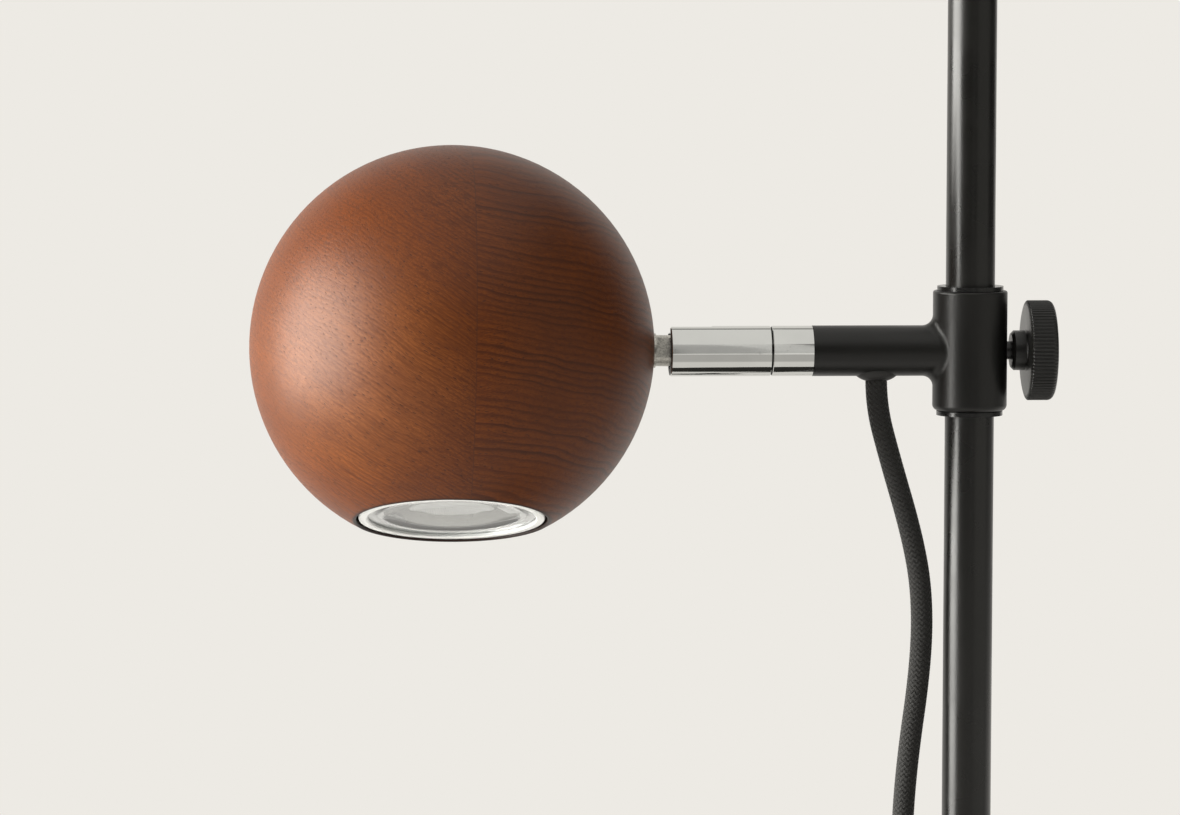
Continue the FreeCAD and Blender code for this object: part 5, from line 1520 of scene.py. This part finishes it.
@dataclass(frozen=True)
class Bulb:
    """Reflector bulb; radii and depths behind its face in millimetres."""

    face: float = -47.8
    radius: float = 25.25
    lens: float = 23.5
    middle: float = 12.1
    faces: int = 128
    # Two white blocks on the seat are painted highlight: they stand for the softbox's reflections
    # in the lens.
    lugs: int = 2
    lug: Point = (3.4, 8.0, 0.9)
    lug_ring: float = 16.9
    lug_depth: float = 2.15
    lug_turn: float = 154
    beads: int = 27
    bead: Point = (0.86, 0.86, 0.85)
    bead_pitch: float = 0.86
    bead_depth: float = 4.42
    bead_turn: float = 38
    chips: int = 7
    chip: Point = (2.6, 2.6, 0.3)
    chip_ring: float = 7.6
    chip_depth: float = 6.78

    def up(self, *corners: tuple[float, float]) -> Outline:
        """Corners of (radius, depth behind the face) as (radius, height)."""
        return [(radius, self.face + depth) for radius, depth in corners]

    def build(self) -> None:
        """Builds what shows through the opening and dresses the rest."""
        dress(HOUSING, "bulb_housing")
        dress(BRASS, "bulb_pins")
        edge = self.up((22.7, 0.25), (23.1, 0.0), (self.radius, 0.0), (self.radius, 3.2),
                       (23.6, 3.2), (23.6, 0.85), (22.7, 0.85))
        self.turned("front_ring", RING_WHITE, fillet(edge, {2: 0.55, 1: 0.2}), "bulb_white",
                    "bulb_ring")
        front = self.up((0, 0.60), (6, 0.64), (12, 0.74), (17.6, 0.88), (18.2, 0.74), (20.0, 0.74),
                        (20.6, 0.84), (21.9, 0.84), (self.lens, 0.88), (self.lens, 1.55),
                        (20.0, 1.55), (12, 1.42), (6, 1.33), (0, 1.30))
        self.turned("front_lens", CLEAR, front, "lens", "bulb_lens", closed=False)
        settle(self.seat(), Body.BULB, "bulb_white")
        rim = self.middle + 0.15
        cone = self.up((18.4, 2.25), (self.middle + 0.6, 4.5), (rim, 4.75), (rim, 6.6),
                       (self.middle + 0.7, 6.6), (self.middle + 0.9, 5.1), (18.4, 2.65))
        self.turned("silver_cone", SILVERED, cone, "silver", "bulb_reflector")
        settle(self.optic(), Body.BULB, "lens", "bulb_optic")
        settle(self.board(), Body.BULB, "bulb_metal", "bulb_board")

    def turned(self, name: str, finish: Finish, outline: Outline, slot: str, node: str,
               closed: bool = True) -> None:
        """Builds a turned piece of the bulb and settles it.

        Args:
            name: its name.
            finish: what it is made of.
            outline: its outline in the ball's frame.
            slot: the material slot of the record.
            node: the CAD node that it replaces.
            closed: joins the outline's ends.
        """
        shape = lathe(outline, self.faces, closed)
        shape.transform(BALL @ Matrix.Scale(MM, 4))
        settle(as_object(name, shape, finish.material()), Body.BULB, slot, node)

    def seat(self) -> Thing:
        """The white seat behind the lens, with two white blocks on it that are painted highlight,
        standing for the softbox's reflections in the lens.

        Returns:
            The piece.
        """
        # White blocks placed as painted highlight, where the softbox's reflections show in the
        # lens.
        pattern = Pattern("seat_lugs", RING_WHITE, Lugs=self.lugs, Ring=self.lug_ring)
        graph, given = pattern.graph, pattern.given
        line = graph.node("GeometryNodeMeshLine", Count=given["Lugs"],
                          Start_Location=graph.join(given["Ring"] * -1.0, 0.0,
                                                    self.face + self.lug_depth),
                          Offset=graph.join(given["Ring"] * 2.0, 0.0, 0.0))
        pattern.scatter(line, graph.node("GeometryNodeMeshCube", Size=self.lug), self.lug_turn)
        ledge = self.up((23.3, 1.68), (20.4, 1.68), (20.0, 2.1), (18.5, 2.2), (18.5, 2.7),
                        (20.8, 2.7), (23.4, 2.4))
        return pattern.run("lens_seat", lathe(ledge, self.faces), BALL)

    def optic(self) -> Thing:
        """The middle lens, with rows of small beads on its face.

        Returns:
            The piece.
        """
        pattern = Pattern("lens_beads", OPTIC, Rows=self.beads, Pitch=self.bead_pitch,
                          Reach=self.middle - 1.2)
        graph, given = pattern.graph, pattern.given
        side = (given["Rows"] - 1.0) * given["Pitch"]
        grid = graph.node("GeometryNodeMeshGrid", side, side, given["Rows"], given["Rows"])
        outside = graph.node("FunctionNodeCompare",
                             graph.node("GeometryNodeInputPosition").length(),
                             given["Reach"], data_type="FLOAT", operation="GREATER_THAN")
        kept = graph.node("GeometryNodeDeleteGeometry", Geometry=grid, Selection=outside)
        ball = graph.node("GeometryNodeMeshIcoSphere", Radius=0.5, Subdivisions=2)
        pattern.scatter(pattern.turned(kept, self.bead_turn, self.face + self.bead_depth),
                        graph.node("GeometryNodeTransform", Geometry=ball, Scale=self.bead))
        edge = self.middle - 0.05
        disc = fillet(self.up((0, 4.4), (edge, 4.4), (edge, 6.6), (0, 6.6)), {1: 0.6})
        return pattern.run("middle_lens", lathe(disc, 96, False), BALL)

    def board(self) -> Thing:
        """The white board with a ring of light chips.

        Returns:
            The piece.
        """
        pattern = Pattern("light_chips", BOARD, Chips=self.chips, Ring=self.chip_ring)
        graph, given = pattern.graph, pattern.given
        circle = graph.node("GeometryNodeMeshCircle", Vertices=given["Chips"], Radius=given["Ring"])
        pattern.scatter(pattern.turned(circle, 0.0, self.face + self.chip_depth),
                        graph.node("GeometryNodeMeshCube", Size=self.chip))
        disc = self.up((0, 6.85), (self.middle, 6.85), (self.middle, 7.5), (0, 7.5))
        return pattern.run("light_board", lathe(disc, 64, False), BALL)


@dataclass(frozen=True)
class Relief:
    """A tapered ribbed sleeve on the cord; sizes in millimetres."""

    thick: float = 4.7
    thin: float = 3.45
    pitch: float = 2.9
    groove: float = 0.45
    inner: float = 3.15
    faces: int = 40
    groove_share: float = 0.22
    grooved: tuple[float, float] = (0.14, 0.93)
    step: float = 0.24

    def radius(self, run: float, length: float) -> float:
        """The radius at a distance from the thick end.

        Args:
            run: the distance.
            length: the sleeve's length.

        Returns:
            The radius, in metres.
        """
        share = run / length
        reach = self.thick + (self.thin - self.thick) * share
        turn = (run / self.pitch) % 1.0
        cut = self.groove * max(0.0, 1 - abs(turn - 0.5) / self.groove_share) ** 0.5
        if not self.grooved[0] < share < self.grooved[1]:
            cut = 0.0
        return (reach - min(cut, reach - self.inner)) * MM

    def settle(self, name: str, line: Line, *nodes: str) -> None:
        """Builds the sleeve along a line that starts at its thick end.

        Args:
            name: the piece's name.
            line: points in metres.
            nodes: CAD nodes that it replaces.
        """
        points = even(line, self.step * MM)
        length = runs(points)[-1] / MM
        shape, _ = tube(points, Vector((0, 0, 1)), self.faces,
                        lambda i, k: self.radius(length * i / (len(points) - 1), length))
        piece = as_object(name, shape, SHELL_FINISH.material(), 60.0)
        settle(piece, Body.STAND, "black_plastic", *nodes)


@dataclass(frozen=True)
class Switch:
    """Inline rocker switch with a sleeve at each end; sizes in millimetres."""

    relief: Relief = Relief()
    sleeve: float = 21.0
    step: float = 0.4

    def build(self) -> None:
        """Dresses the switch and adds its sleeves."""
        dress(SHELL_FINISH, "switch_base", "switch_cover", "switch_rocker")
        dress(ZINC, "switch_screws")
        for name, line in (("sleeve_before_switch", spline(DROP_TO_SWITCH, self.step)[::-1]),
                           ("sleeve_after_switch", spline(SWITCH_TO_COIL, self.step))):
            kept = [point for point, run in zip(line, runs(line)) if run <= self.sleeve * MM]
            self.relief.settle(name, kept)


@dataclass(frozen=True)
class Plug:
    """Mains plug and its sleeve; sizes in millimetres."""

    place: Point = (103.5, 70.0, 6.95)
    turn: float = -75.0
    body_length: float = 36.0
    sleeve: float = 24.0
    relief: Relief = Relief(4.6, 3.5)

    def build(self) -> None:
        """Dresses the plug and builds its sleeve."""
        dress(SHELL_FINISH, "plug_body")
        dress(BRASS, "plug_pins")
        place = Matrix.Translation([value * MM for value in self.place])
        place @= Matrix.Rotation(math.radians(self.turn), 4, "Z")
        ends = [place @ Vector((-(self.body_length + reach) * MM, 0, 0))
                for reach in (0.0, self.sleeve)]
        self.relief.settle("plug_sleeve", ends, "plug_relief")


@dataclass(frozen=True)
class Strap:
    """A soft strap wrapped round one side of the coil; sizes in millimetres."""

    middle: Point = (12.0, 172.0, 7.1)
    half: float = 9.95
    rise: float = 6.9
    slack: float = 0.9
    start: float = 1.9
    steps: int = 96
    wave: float = 0.25
    waves: int = 3
    squareness: float = 0.5
    section: tuple[tuple[float, float], ...] = (
        (-5.8, 0.12), (-5.9, 0.4), (-5.5, 0.75), (0, 0.85), (5.5, 0.75), (5.9, 0.4), (5.8, 0.12),
        (5.4, 0.0), (0, 0.0), (-5.4, 0.0),
    )
    thickness: float = 0.95

    def build(self) -> None:
        """Builds the strap."""
        shape = bmesh.new()
        rings = []
        for i in range(self.steps):
            turn = 2 * math.pi * i / self.steps + self.start
            c, s = math.cos(turn), math.sin(turn)
            right, up = (math.copysign(abs(part) ** self.squareness, part) for part in (c, s))
            inner = Vector((right * self.half, 0, up * (self.rise - self.slack)))
            out = Vector((c / self.half, 0, s / self.rise)).normalized()
            shift = self.wave * math.sin(self.waves * turn)
            rings.append([shape.verts.new(Vector(self.middle) + inner
                                          + out * (lift * self.thickness)
                                          + Vector((0, across + shift, 0)))
                          for across, lift in self.section])
        for low, high in zip(rings, rings[1:] + rings[:1]):
            band(shape, low, high)
        shape.transform(Matrix.Scale(MM, 4))
        settle(as_object("coil_strap", shape, STRAP_FINISH.material(), 70.0), Body.STAND, "strap",
               "coil_tie")


def clear_start_objects() -> None:
    """Takes away whatever Blender put in its start-up scene."""
    kept = {*frame["nodes"].values(), *frame["bodies"].values()}
    for thing in set(bpy.data.objects) - kept:
        bpy.data.objects.remove(thing)


def main() -> None:
    """Builds the studio and the lamp."""
    logging.basicConfig(level=logging.INFO, format="%(name)s: %(message)s")
    clear_start_objects()
    bpy.context.view_layer.update()
    for part in (Studio(), CordSet(), Stand(), Carriage(), Arm(), ThumbScrew(), Head(), Bulb(),
                 Switch(), Plug(), Strap()):
        part.build()
    bpy.context.view_layer.update()


if __name__ == "__main__":
    main()
